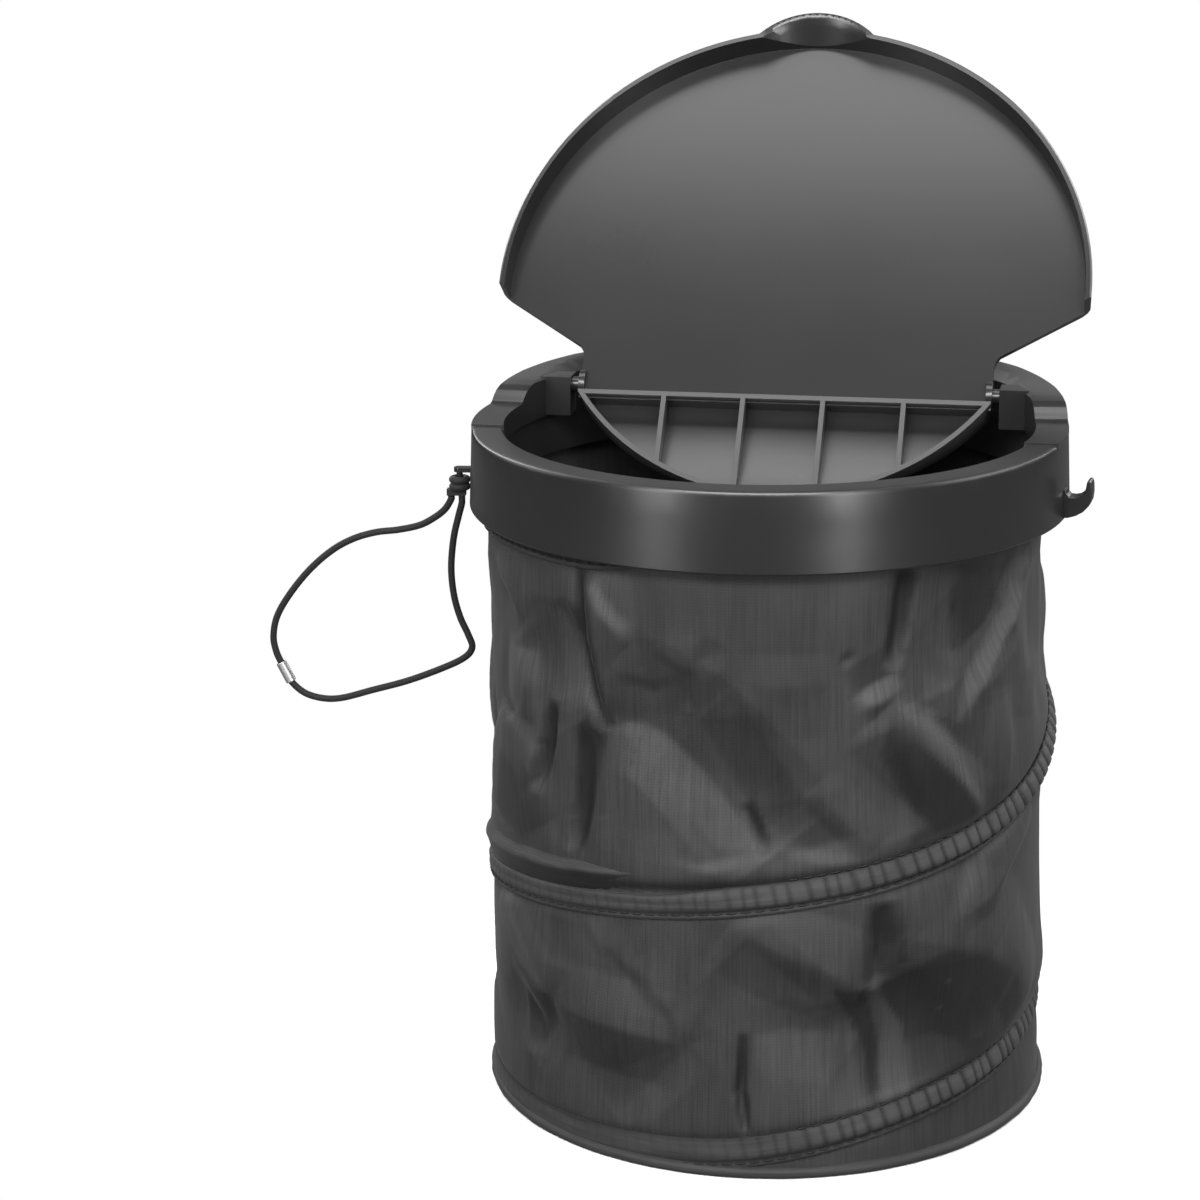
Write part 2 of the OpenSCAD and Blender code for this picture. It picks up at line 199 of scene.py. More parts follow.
# %% The route of the elastic loop
EYE_Y = -9.188  # the plane that the loop hangs in
LOOP_POINTS = [
    (-90, 171.6), (-90, 171), (-90.1, 170.2), (-92, 167.2), (-95.2, 164.6), (-99.6, 162.2), (-106, 160.6),
    (-112.6, 159.6), (-119.4, 157.4), (-126, 153.6), (-133, 147.4), (-139.2, 139.8), (-143.2, 133),
    (-144.5, 127), (-143.9, 122.6), (-142.6, 119.4), (-141, 116.3), (-139.4, 113.2), (-135.4, 110),
    (-129.8, 108.7), (-124, 109.2), (-115, 112), (-104.2, 115.4), (-93.6, 119.8), (-87.2, 123.2),
    (-84.8, 126.4), (-85.9, 130.2), (-88.2, 135.4), (-89.9, 142), (-90.5, 150), (-89.6, 158.8),
    (-88, 165.4), (-87, 169), (-86.9, 170.4), (-86.9, 171), (-86.9, 171.6),
]  # fmt: skip
CORD_R = 1.0


def smooth_line(points, steps):
    """A curve through all the points, with so many steps from each to the next."""
    p = np.array(points, float)
    out = []
    for i in range(len(p) - 1):
        a, b, c, d = p[max(0, i - 1)], p[i], p[i + 1], p[min(len(p) - 1, i + 2)]
        for k in np.arange(steps) / steps:
            bend = 2 * b + (c - a) * k + (2 * a - 5 * b + 4 * c - d) * k**2
            out.append(0.5 * (bend + (3 * b - a - 3 * c + d) * k**3))
    return np.array(out + [p[-1]])


def tube_rings(line, radius, sides, side_axis):
    """Rings of points round a line that lies in a plane square to side_axis."""
    ahead = np.gradient(line, axis=0)
    ahead /= np.linalg.norm(ahead, axis=1)[:, None]
    up = np.cross(side_axis, ahead)
    turn = np.arange(sides) * 2 * np.pi / sides
    return (
        line[:, None]
        + radius * np.cos(turn)[None, :, None] * up[:, None]
        + radius * np.sin(turn)[None, :, None] * np.array(side_axis)[None, None]
    )


loop_xz = smooth_line(LOOP_POINTS, 6)
loop_line = np.stack([loop_xz[:, 0], np.full(len(loop_xz), EYE_Y), loop_xz[:, 1]], 1) * MM
loop_along = np.concatenate([[0], np.cumsum(np.linalg.norm(np.diff(loop_line, axis=0), axis=1))])
print("loop length in mm:", round(loop_along[-1] / MM, 1))

# %% [markdown]
# ## Finishes
# The bag and its casing are a coated polyester, woven fine, with a soft sheen and faint upright streaks;
# the casing is two layers, so it is paler and duller. The collar and the lid are moulded ABS with a satin
# skin. The cord is a braided sleeve over rubber, the little sleeve that joins its ends is bare aluminium,
# and the wire is drawn spring steel. Sewing thread and the paper of the floor follow where they are used.

# %% Coated woven polyester
# It gives the eye a dull black, with painted light where the cloth leans up and painted shade in the creases.
# Real threads are 0.25 mm apart, too fine to show, so the weave is drawn with threads 0.8 mm apart. The
# streaks are about 1 mm wide and 24 mm long, and the cloudy patches about 26 mm across.
THREAD = 0.8 * MM


def make_cloth(name, dark, light, roughness):
    material, tree, shader = new_material(
        name, Specular_IOR_Level=0.28, Sheen_Weight=0.05, Sheen_Roughness=0.4
    )
    uv = node(tree, "ShaderNodeTexCoord").outputs["UV"]
    streak_place = node(tree, "ShaderNodeMapping", {"Scale": (900, 42, 1)}, {"Vector": uv})
    streaks = node(
        tree, "ShaderNodeTexNoise", {"Scale": 1.0, "Detail": 3.0, "Roughness": 0.6},
        {"Vector": streak_place.outputs[0]},
    )  # fmt: skip
    patch = node(tree, "ShaderNodeTexNoise", {"Scale": 38.0, "Detail": 2.0}, {"Vector": uv})
    both = node(
        tree, "ShaderNodeMix", {"Factor": 0.35},
        {"A": streaks.outputs["Fac"], "B": patch.outputs["Fac"]}, data_type="FLOAT",
    )  # fmt: skip
    shade = node(tree, "ShaderNodeValToRGB", None, {"Fac": both.outputs[0]})
    shade.color_ramp.elements[0].position = 0.34
    shade.color_ramp.elements[0].color = linear(dark)
    shade.color_ramp.elements[1].position = 0.66
    shade.color_ramp.elements[1].color = linear(light)
    # painted light and shade: paler where the cloth leans up, darker in creases and under the lip
    lean = node(tree, "ShaderNodeAttribute", attribute_name="lean")
    factor = node(
        tree, "ShaderNodeMapRange", {"From Min": -1.0, "To Min": 0.25, "To Max": 1.85},
        {"Value": lean.outputs["Fac"]},
    )  # fmt: skip
    painted_light_colour = node(
        tree, "ShaderNodeVectorMath", None, {0: shade.outputs[0], "Scale": factor.outputs[0]},
        operation="SCALE",
    )  # fmt: skip
    tree.links.new(painted_light_colour.outputs[0], shader.inputs["Base Color"])
    # a wave texture of scale 1 repeats each 2 pi / 20 of a metre
    rows = 2 * math.pi / THREAD / 20
    threads = {"Scale": rows, "Distortion": 0.6, "Detail": 1.0}
    warp, weft = [
        node(tree, "ShaderNodeTexWave", threads, {"Vector": uv}, wave_type="BANDS", bands_direction=way)
        for way in "XY"
    ]
    weave = node(
        tree, "ShaderNodeMath", None, {0: warp.outputs["Fac"], 1: weft.outputs["Fac"]}, operation="MULTIPLY"
    )
    fine = node(
        tree, "ShaderNodeBump", {"Strength": 0.22, "Distance": 0.1 * MM}, {"Height": weave.outputs[0]}
    )
    soft = node(
        tree, "ShaderNodeBump", {"Strength": 0.2, "Distance": 0.3 * MM},
        {"Height": streaks.outputs["Fac"], "Normal": fine.outputs[0]},
    )  # fmt: skip
    tree.links.new(soft.outputs[0], shader.inputs["Normal"])
    gloss = node(
        tree, "ShaderNodeMapRange", {"To Min": roughness - 0.06, "To Max": roughness + 0.08},
        {"Value": patch.outputs["Fac"]},
    )  # fmt: skip
    tree.links.new(gloss.outputs[0], shader.inputs["Roughness"])
    return material


cloth = make_cloth("coated_polyester_cloth", "#1e1e1e", "#2c2c2c", 0.56)
casing_cloth = make_cloth("folded_polyester_casing", "#222222", "#303030", 0.64)


# %% Satin moulded plastic
# It gives the eye a deep black with long, soft highlights. A spark-eroded mould leaves a grain of about
# 0.3 mm, which breaks up the shine a little; clouds about 33 mm across shift its tone.
def make_plastic(name, colour, roughness, grain, painted_highlight="#4c4c4c"):
    material, tree, shader = new_material(name)
    place = node(tree, "ShaderNodeTexCoord").outputs["Object"]
    speckle = node(tree, "ShaderNodeTexNoise", {"Scale": 1 / (grain * MM), "Detail": 2.0}, {"Vector": place})
    cloudy = node(tree, "ShaderNodeTexNoise", {"Scale": 30.0, "Detail": 3.0}, {"Vector": place})
    shade = node(
        tree, "ShaderNodeMix", {"A": linear(colour[0]), "B": linear(colour[1])},
        {"Factor": cloudy.outputs["Fac"]}, data_type="RGBA",
    )  # fmt: skip
    # painted highlight: where the amount is set, as on the tray's rib tops, the skin is painted paler
    painted_highlight_amount = node(tree, "ShaderNodeAttribute", attribute_name="painted_highlight")
    skin = node(
        tree, "ShaderNodeMix", {"B": linear(painted_highlight)},
        {"Factor": painted_highlight_amount.outputs["Fac"], "A": shade.outputs["Result"]}, data_type="RGBA",
    )  # fmt: skip
    tree.links.new(skin.outputs["Result"], shader.inputs["Base Color"])
    gloss = node(
        tree, "ShaderNodeMapRange", {"To Min": roughness - 0.015, "To Max": roughness + 0.015},
        {"Value": cloudy.outputs["Fac"]},
    )  # fmt: skip
    tree.links.new(gloss.outputs[0], shader.inputs["Roughness"])
    bump = node(
        tree, "ShaderNodeBump", {"Strength": 0.12, "Distance": 0.05 * MM}, {"Height": speckle.outputs["Fac"]}
    )
    tree.links.new(bump.outputs[0], shader.inputs["Normal"])
    return material


collar_plastic = make_plastic("moulded_abs_collar", ("#161616", "#1c1c1c"), 0.32, 0.3)
lid_plastic = make_plastic("moulded_abs_lid", ("#191919", "#1d1d1d"), 0.28, 0.3)


# %% Braided cord and bare metal
# The cord gives the eye a fine dark braid without shine, in checks of about 0.5 mm set at 45 degrees. The
# aluminium is the one pale spot on the bin, with wear in specks of 0.7 mm. The steel is grey, and lies
# hidden in the casing and under the hoop's cover.
def make_cord():
    material, tree, shader = new_material(
        "braided_elastic_cord", Roughness=0.7, Specular_IOR_Level=0.3, Sheen_Weight=0.05
    )
    uv = node(tree, "ShaderNodeTexCoord").outputs["UV"]
    place = node(tree, "ShaderNodeMapping", {"Rotation": (0, 0, math.radians(45))}, {"Vector": uv})
    braid = node(
        tree, "ShaderNodeTexChecker",
        {"Scale": 1900.0, "Color1": linear("#0b0b0b"), "Color2": linear("#191919")},
        {"Vector": place.outputs[0]},
    )  # fmt: skip
    tree.links.new(braid.outputs["Color"], shader.inputs["Base Color"])
    bump = node(
        tree, "ShaderNodeBump", {"Strength": 0.5, "Distance": 0.1 * MM}, {"Height": braid.outputs["Fac"]}
    )
    tree.links.new(bump.outputs[0], shader.inputs["Normal"])
    return material


def make_metal(name, colour, roughness):
    material, tree, shader = new_material(name, Base_Color=linear(colour), Metallic=1.0)
    place = node(tree, "ShaderNodeTexCoord").outputs["Object"]
    wear = node(tree, "ShaderNodeTexNoise", {"Scale": 1500.0, "Detail": 3.0}, {"Vector": place})
    gloss = node(
        tree, "ShaderNodeMapRange", {"To Min": roughness - 0.05, "To Max": roughness + 0.05},
        {"Value": wear.outputs["Fac"]},
    )  # fmt: skip
    tree.links.new(gloss.outputs[0], shader.inputs["Roughness"])
    return material


cord_finish = make_cord()
crimp_metal = make_metal("bare_aluminium_sleeve", "#b4b4b4", 0.45)
spring_steel = make_metal("drawn_spring_steel", "#a8a8aa", 0.35)
for finish in (cloth, casing_cloth, collar_plastic, lid_plastic, cord_finish, crimp_metal, spring_steel):
    print("finish:", finish.name)

# %% [markdown]
# ## The bag's cloth
# The cloth is one strip, rolled into a tube and sewn down the back. A grid is the flat strip, cut to the
# tube's size, and rolling it keeps its UV map, so that the weave follows the cloth. The folds are lines
# across the bag: each pulls the cloth in or lets it out, sharp at the line and soft away from it. A soft
# side and a steep side make the facets that stiff, coated cloth falls into. Each point also carries an
# amount of painted light and shade: paler where the cloth leans up, darker in deep creases and under the
# lip, and as much as a table of facets gives.

# %% The spiral that everything on the bag follows
# Height of the casing's top edge against the turned angle: 0 is the right side, -90 the front.
RIDGE = np.array([
    (-540, 7.4), (-510, 7.6), (-480, 8.2), (-450, 10.6), (-435, 14), (-420, 18.4), (-405, 22.4),
    (-390, 25.4), (-375, 28), (-360, 30.8), (-330, 36.8), (-270, 49), (-210, 61), (-180, 67.5),
    (-150, 73.6), (-120, 78.8), (-90, 83.6), (-60, 89.2), (-45, 92.6), (-30, 96.8), (-15, 101.8),
    (0, 109.5), (15, 116.5), (30, 123), (60, 135), (90, 145.4), (120, 154.2), (150, 162), (165, 165.8),
    (180, 169.4), (195, 173.6), (202, 174.9), (215, 175.5), (245, 176.3), (252, 178), (262, 181),
    (306, 181.4), (330, 181.4),
])  # fmt: skip
BAG_R = 79.8
TURN_START, TURN_END = -540, 306


def at_turn(table, turn):
    """What a table of turned angles and amounts says at each turned angle."""
    return np.interp(turn, table[:, 0], table[:, 1])


def wrapped(degrees):
    """The same angle, between -180 and 180."""
    return (degrees + 180) % 360 - 180


fine_turn = np.arange(-560, 341, 1.0)
fine_ridge = at_turn(RIDGE, fine_turn)
fine_ridge = np.convolve(np.pad(fine_ridge, 7, mode="edge"), np.ones(15) / 15, mode="valid")
print("the spiral makes", round((TURN_END - TURN_START) / 360, 2), "turns")


def ridge(turn):
    return np.interp(turn, fine_turn, fine_ridge)


def smoothstep(low, high, v):
    k = np.clip((v - low) / (high - low), 0, 1)
    return k * k * (3 - 2 * k)


# %% Fold lines: points as angle and height, then how far out, and how long the slope is on each side, in mm
# Where the front lines run was read off the photo. How far out they stand and how long their slopes
# are was not: those values come from a fit of the shading to the photo, made by another program. The narrow
# creases and the back were set one by one.
FOLDS = [
    ([(-160, 161.5), (-150, 157.5), (-143, 151), (-138, 146)], -0.4, 2.5, 24),
    ([(-152, 160), (-144.5, 155.5), (-138.5, 147.5)], 0.6, 14, 2.5),
    ([(-136, 146), (-131.5, 138), (-127.5, 128.5)], -0.5, 14, 14),
    ([(-141.5, 148), (-140.5, 135), (-140.5, 121)], 0.2, 8, 4.5),
    ([(-146.5, 146), (-146.3, 133), (-144, 121)], -0.2, 8, 4.5),
    ([(-136.5, 140), (-136, 131), (-137, 120)], 1.1, 4.5, 14),
    ([(-145.6, 121), (-147.5, 114), (-150.6, 100), (-152.5, 86)], 3.1, 24, 4.5),
    ([(-149, 118), (-152, 106), (-153.6, 90)], 1.2, 14, 4.5),
    ([(-146, 117), (-140, 104), (-134, 90)], 1.5, 14, 14),
    ([(-143.5, 119), (-139, 112), (-133.6, 104)], 0.9, 14, 14),
    ([(-126.8, 126), (-128, 115), (-129, 95), (-125.5, 86)], -0.5, 24, 4.5),
    ([(-131.5, 156), (-129.5, 140), (-126.5, 129)], -0.4, 14, 14),
    ([(-126, 156.5), (-126.3, 143), (-124.8, 131), (-121.8, 124)], -0.8, 14, 14),
    ([(-125.5, 158), (-122.5, 149), (-120, 137), (-118.4, 130)], -1, 2.5, 8),
    ([(-118.5, 167), (-117.6, 149), (-115.8, 136), (-113.5, 125.5)], 1.5, 14, 4.5),
    ([(-119.5, 169), (-116, 159), (-112, 152.5), (-109, 149)], 0.7, 2.5, 14),
    ([(-112.5, 128.6), (-106, 127.3), (-100, 122.5), (-94.5, 115), (-88.5, 105.5), (-84.2, 97),
      (-81.8, 92.6)], -2, 24, 15),
    ([(-112.5, 127), (-106, 118.5), (-98.5, 110), (-91.5, 106), (-86.5, 98.5)], 0.3, 8, 24),
    ([(-89.7, 131), (-87.9, 116), (-84.3, 104), (-82, 93.5)], -0.5, 14, 14),
    ([(-100, 89), (-91, 91.5), (-84, 94)], -0.5, 14, 2.5),
    ([(-80, 94), (-72, 91.5), (-62, 88.5)], 0.4, 2.5, 14),
    ([(-83, 92), (-70, 96), (-62, 99.5)], -0.6, 14, 8),
    ([(-103.5, 149.5), (-99, 146), (-96.2, 144)], 0.2, 8, 2.5),
    ([(-96, 145.5), (-93, 148), (-91.2, 152)], -0.2, 4, 4.5),
    ([(-88, 140.8), (-78, 140.6), (-68.5, 140.6)], 0.4, 8, 14),
    ([(-112, 139), (-104, 136.5), (-98, 141)], -0.3, 2.5, 14),
    ([(-67.5, 147.8), (-65.5, 146)], -0.3, 2.5, 2.5),
    ([(-66, 136.3), (-62.2, 138.3), (-55.4, 142.8)], -0.7, 8, 4.5),
    ([(-63.5, 133.8), (-56.5, 135.6)], 0.5, 4.5, 4.5),
    ([(-58.7, 132.5), (-53.5, 123.5), (-46, 113.8), (-39.7, 106), (-35, 98.5)], 1.9, 8, 14),
    ([(-56, 133), (-48.5, 127.8), (-42.2, 116.5), (-38.3, 106), (-34.7, 98.7)], -0.6, 8, 2.5),
    ([(-59.2, 126), (-55, 113), (-52.2, 97.5)], -0.6, 4.5, 14),
    ([(-73, 112), (-66, 101), (-61, 94)], 0.5, 8, 4.5),
    ([(-15.5, 167), (-20.4, 163.5), (-25.5, 152), (-33, 143), (-39.5, 134.5),
      (-42.2, 125.5)], -1.9, 4.5, 24),
    ([(-14, 165), (-18.5, 153.5), (-26, 146.5), (-34.5, 136.5), (-40.2, 126)], 0.3, 14, 2.5),
    ([(-22.5, 167.5), (-27.5, 156), (-30, 150)], -0.8, 2.5, 8),
    ([(-42.9, 168), (-42.5, 155), (-41, 144.5)], 0.3, 2.5, 2.5),
    ([(-41, 144.5), (-34, 148), (-26.5, 154)], -1.8, 14, 14),
    ([(-41, 144), (-43, 135), (-43.5, 126)], 0.5, 4.5, 8),
    ([(-47.5, 168), (-46.8, 150), (-44, 135)], -1, 24, 24),
    ([(-31.6, 131), (-32.4, 115), (-32.2, 99)], 0.6, 14, 2.5),
    ([(-27.5, 128), (-26.5, 115), (-28, 102)], 0.5, 2.5, 14),
    ([(-19.5, 145), (-18.8, 132), (-21, 120)], 0.5, 14, 8),
    ([(-14.8, 160), (-13.5, 146), (-14.5, 132)], -0.8, 14, 14),
    ([(-153.5, 67.5), (-146, 62), (-137.3, 52), (-130, 42)], 0.9, 8, 8),
    ([(-152, 63), (-143.6, 51.5), (-136, 45.8), (-129.8, 40.8)], 1.1, 24, 14),
    ([(-129.8, 41), (-123.5, 29), (-116, 15), (-113, 8.5)], -0.4, 14, 24),
    ([(-141.5, 45), (-136, 33), (-134.5, 22)], -1.1, 4.5, 14),
    ([(-129, 39), (-133, 28), (-137, 20)], -0.8, 8, 14),
    ([(-158, 42), (-148, 44.5), (-141, 45)], 0.4, 8, 14), ([(-128, 66), (-128, 52)], -0.5, 8, 8),
    ([(-129.5, 40.4), (-116, 40.2), (-105, 39), (-97.5, 37.8)], 1.2, 14, 14),
    ([(-97, 37.5), (-103, 28), (-113, 13)], -0.5, 8, 14),
    ([(-96.4, 38.5), (-100.5, 48), (-108, 60)], 0.3, 2.5, 8),
    ([(-97.3, 38.8), (-94.5, 50), (-92.5, 62)], 0.2, 4.5, 2.5),
    ([(-119.7, 69), (-117, 63.5), (-114.7, 59.4)], 0.2, 8, 2.5),
    ([(-114.7, 64), (-108, 56.5), (-101.3, 46)], 0.3, 14, 2.5),
    ([(-88.5, 74), (-78.5, 65.5), (-68.5, 59.2), (-62.3, 53)], 1.1, 14, 14),
    ([(-86, 69), (-76, 56.7), (-67.3, 44.8), (-62.5, 39.5)], -0.8, 8, 24),
    ([(-84.5, 41.5), (-77, 43.8), (-71, 42.2), (-67, 41.3)], -0.5, 8, 14),
    ([(-62.4, 53), (-59.8, 38), (-58.3, 19)], -1.2, 24, 24),
    ([(-61, 52), (-56, 36), (-51.8, 20)], -0.9, 24, 24),
    ([(-55.4, 80), (-55.6, 68), (-53.8, 60)], 0.4, 2.5, 14),
    ([(-53.5, 83), (-52.3, 75), (-49.5, 69.5)], 0.2, 8, 8),
    ([(-53.8, 60), (-43, 61), (-33, 55), (-24, 45.5)], 2.2, 24, 24),
    ([(-41, 69.5), (-33.5, 72.5), (-22.5, 83), (-12, 90)], 1.2, 14, 4.5),
    ([(-38.5, 88), (-40.5, 78), (-43, 70)], -0.4, 2.5, 4.5),
    ([(-33, 90), (-34, 80), (-38, 71)], 0.6, 14, 4.5),
    ([(-28.5, 60), (-20, 46.5), (-16, 34)], 1.5, 14, 14),
    ([(-50, 58), (-50.6, 40), (-49.8, 22)], -0.6, 24, 24), ([(-36, 45), (-35, 32)], -0.2, 8, 4.5),
    ([(-140, 20), (-139, 40), (-142, 50)], 0.5, 2.5, 14),
    # deep, narrow creases that stay dark
    ([(-128.7, 128), (-130.5, 115), (-133, 101)], -2, 2.6, 3.2),
    ([(-118.6, 123), (-120.2, 104), (-122, 86)], -2.4, 4.2, 4.6),
    ([(-120.4, 169), (-119.8, 150), (-117, 133), (-114.3, 124)], -2.2, 3.6, 3.6),
    ([(-86, 107), (-83.7, 100), (-82, 93)], -1.4, 2.5, 2),
    ([(-96.4, 144), (-97, 138), (-97.2, 132)], -0.3, 3, 3),
    ([(-86, 42), (-86.5, 25), (-85.2, 9)], -1.8, 1.8, 1.8),
    ([(-63, 53), (-60.4, 38), (-59.2, 18)], -2.2, 3, 3),
    ([(-54.8, 170), (-55.6, 155), (-57.3, 143)], -2.2, 3.2, 3.2),
    ([(-59, 78), (-59, 66), (-60.3, 53)], -1.3, 5, 5),
    # the back, which follows how the front falls
    ([(10, 152), (24, 120)], 1.5, 10, 20), ([(30, 100), (60, 70)], 1.6, 22, 10),
    ([(48, 152), (62, 128)], -1.4, 7, 17), ([(78, 124), (110, 84)], 1.6, 12, 24),
    ([(95, 62), (120, 28)], -1.5, 7, 22), ([(128, 132), (150, 104)], -1.5, 19, 7),
    ([(140, 82), (168, 46)], 1.5, 22, 10), ([(170, 142), (190, 104)], 1.5, 10, 17),
    ([(176, 60), (196, 30)], -1.3, 7, 14), ([(20, 64), (50, 36)], -1.4, 17, 7),
    ([(196, 126), (204, 96)], -1.4, 7, 7), ([(70, 40), (84, 14)], 1.2, 10, 14),
    ([(100, 148), (118, 122)], 1.2, 14, 7), ([(60, 118), (86, 96)], -1.1, 10, 19),
    ([(150, 60), (134, 22)], -1.2, 12, 7),
]  # fmt: skip
ROUND = 0.35  # how blunt a fold's edge is
# The folds that are narrow and deep enough to lie in shade
DEEP = [f for f in FOLDS if f[1] <= -1 and max(f[2:]) <= 5]

# Facets between the folds, read off the photo, with painted light and shade: how much each is painted
# paler (above 0) or darker (below 0), then its corners as angle and height
PAINTED_FACET_TABLE = [
    (-0.24, [(-116, 170), (-70, 170), (-72, 141), (-88, 141), (-96, 131), (-113, 129.5)]),
    (-0.75, [(-118, 129), (-114, 123), (-121, 86), (-123, 86), (-122, 116), (-121, 125)]),
    (-0.7, [(-121.5, 168), (-116.5, 168), (-116, 151), (-114, 129), (-118, 133), (-121, 148)]),
    (-0.7, [(-130.5, 127), (-127.5, 125), (-133, 101), (-131.5, 116)]),
    (-0.7, [(-56, 169), (-52, 169), (-53.5, 148), (-57.5, 142), (-58, 151)]),
    (-0.6, [(-57.5, 132), (-36, 98.5), (-53.5, 94), (-53, 104), (-60, 120)]),
    (-0.55, [(-43, 169), (-24, 164), (-30.5, 150), (-40.5, 143), (-43.5, 155)]),
    (-0.6, [(-61, 76), (-55, 79), (-54, 67), (-33.5, 58), (-21.5, 44), (-17.5, 29), (-41, 23),
      (-51, 20), (-51.5, 34), (-58, 51)]),
    (-0.75, [(-69, 55), (-62, 53), (-58.5, 36), (-58, 19), (-60, 19), (-61, 34), (-64, 43)]),
    (-0.5, [(-140.5, 41), (-130, 43), (-128.5, 34), (-135, 25), (-139, 25)]),
    (-0.25, [(-127, 41), (-98.5, 37.5), (-112, 27), (-119, 24)]),
    (-0.6, [(-84, 110), (-81.5, 93), (-83.5, 96), (-85.5, 106)]),
    (-0.3, [(-95, 130), (-84, 104), (-74, 96), (-66, 98), (-76, 112), (-88, 140)]),
    (0.6, [(-113, 128), (-102, 126), (-91, 111), (-83, 95), (-91, 94), (-98, 104), (-107, 118)]),
    (0.35, [(-113, 127), (-107, 118), (-98, 104), (-91, 92), (-99, 89), (-116, 90)]),
    (0.6, [(-118, 164), (-116, 164), (-108, 154), (-111, 153), (-116, 157)]),
    (1.0, [(-153.5, 113), (-147.5, 120), (-145, 115), (-150.5, 86), (-153, 90)]),
    (0.5, [(-145.5, 141), (-139, 145), (-136, 132), (-139, 118), (-144, 123)]),
    (0.45, [(-127.5, 155), (-125, 153), (-119, 134), (-121.5, 127), (-125.5, 130)]),
    (0.25, [(-129, 122), (-123, 121), (-124, 86), (-129, 90)]),
    (0.7, [(-65.5, 136), (-56, 142.5), (-55, 137), (-62, 134.5)]),
    (0.9, [(-57, 134), (-48, 130), (-41, 117), (-35, 98.5)]),
    (0.8, [(-41, 126), (-40, 135.5), (-28.5, 149.5), (-20, 168), (-14, 167), (-20, 151), (-27, 144),
      (-37, 130)]),
    (0.3, [(-52, 168), (-45, 168), (-44, 150), (-42, 143), (-43, 128), (-53, 136), (-54, 148)]),
    (0.7, [(-153.5, 65.5), (-146, 66.5), (-137, 53.5), (-130, 42), (-136, 46), (-145, 53)]),
    (0.2, [(-88.5, 73), (-63, 77), (-62.5, 54), (-73.5, 60)]),
    (0.25, [(-85, 42), (-64, 41), (-60.5, 19), (-84, 10)]),
    (0.35, [(-58.5, 51), (-53, 41), (-51.5, 20), (-57.5, 19)]),
    (0.6, [(-12, 128), (-9, 120), (-11, 108), (-16, 108)]),
    (0.35, [(-41, 70), (-33, 73), (-34, 86), (-40, 85)]),
    (0.15, [(-125, 70), (-112, 72), (-100, 45), (-124, 42)]),
]  # fmt: skip


def facet_painted_light(angle, height):
    """The painted light (above 0) or shade (below 0) of the facet that each point lies in, or 0."""
    total = np.zeros(angle.shape)
    a = wrapped(angle + 90) - 90
    for amount, corners in PAINTED_FACET_TABLE:
        inside = np.zeros(angle.shape, bool)
        for (a0, z0), (a1, z1) in zip(corners, corners[1:] + corners[:1]):
            crosses = (z0 > height) != (z1 > height)
            inside ^= crosses & (a < (a1 - a0) * (height - z0) / ((z1 - z0) or 1e-9) + a0)
        total = np.where(inside, amount, total)
    return total


def fold_relief(angle, height, lines=FOLDS):
    """How far the fold lines move the cloth out, before their gain and limits."""
    relief = np.zeros(angle.shape)
    for points, out, side_1, side_2 in lines:
        middle = points[0][0]
        x = wrapped(angle - middle) * math.radians(BAG_R)
        line = [((a - middle) * math.radians(BAG_R), z) for a, z in points]
        steps = [math.dist(line[i], line[i + 1]) for i in range(len(line) - 1)]
        best = np.full(angle.shape, 1e9)
        side = np.zeros(angle.shape)
        part = np.zeros(angle.shape)
        gone = 0.0
        for (x0, z0), (x1, z1), step in zip(line, line[1:], steps):
            dx, dz = x1 - x0, z1 - z0
            k = np.clip(((x - x0) * dx + (height - z0) * dz) / step**2, 0, 1)
            ex, ez = x - x0 - k * dx, height - z0 - k * dz
            d = np.hypot(ex, ez)
            nearer = d < best
            best = np.where(nearer, d, best)
            side = np.where(nearer, dx * ez - dz * ex, side)
            part = np.where(nearer, (gone + k * step) / sum(steps), part)
            gone += step
        width = np.where(side > 0, side_1, side_2)
        taper = np.sin(np.pi * np.clip(part, 0, 1)) ** 0.7
        away = np.clip((np.sqrt(best**2 + ROUND**2) - ROUND) / width, 0, 1)
        relief += out * taper * (1 - away)
    return relief


print(len(FOLDS), "fold lines,", len(DEEP), "of them in shade, and", len(PAINTED_FACET_TABLE), "painted_facets")

# %% How the cloth stands out over the wire and is pulled in at the seams
# Each table is a turned angle, then an amount; only the lip's is a share, and the others are in mm.
FLARE = np.array([
    (-540, 0.3), (-450, 0.6), (-400, 0.7), (-378, 1.4), (-350, 1.6), (-320, 1.2), (-210, 1.0), (-180, 0.8),
    (-150, 0.2), (-110, 0.2), (-80, 0.9), (-60, 1.4), (-30, 1.2), (0, 1.1), (30, 1.0), (306, 0.5),
])  # fmt: skip
# The lip over the casing on the left: how strong it is along the turns
LIP = np.array([
    (-540, 0), (-205, 0), (-178, 1.0), (-150, 1.15), (-120, 1.1), (-108, 0.95), (-100, 0.6), (-93, 0.2),
    (-88, 0), (306, 0),
])  # fmt: skip
PINCH = np.array([(-540, 0), (-400, 0), (-375, -1.6), (-355, -2.0), (-330, -1.0), (-300, 0), (306, 0)])
SEAM_DEPTH, SEAM_WIDTH = 0.7, 1.4  # the groove along the casing's top edge
FLARE_FADE = 4  # how far above the casing the cloth stands out most
DRAWN_IN, DRAWN_FADE = 0.6, 5  # how the seam under the casing pulls the cloth in
GATHER_PITCH, GATHER_DEPTH = 2.6, 0.22  # small waves at the seam, degrees apart and mm deep


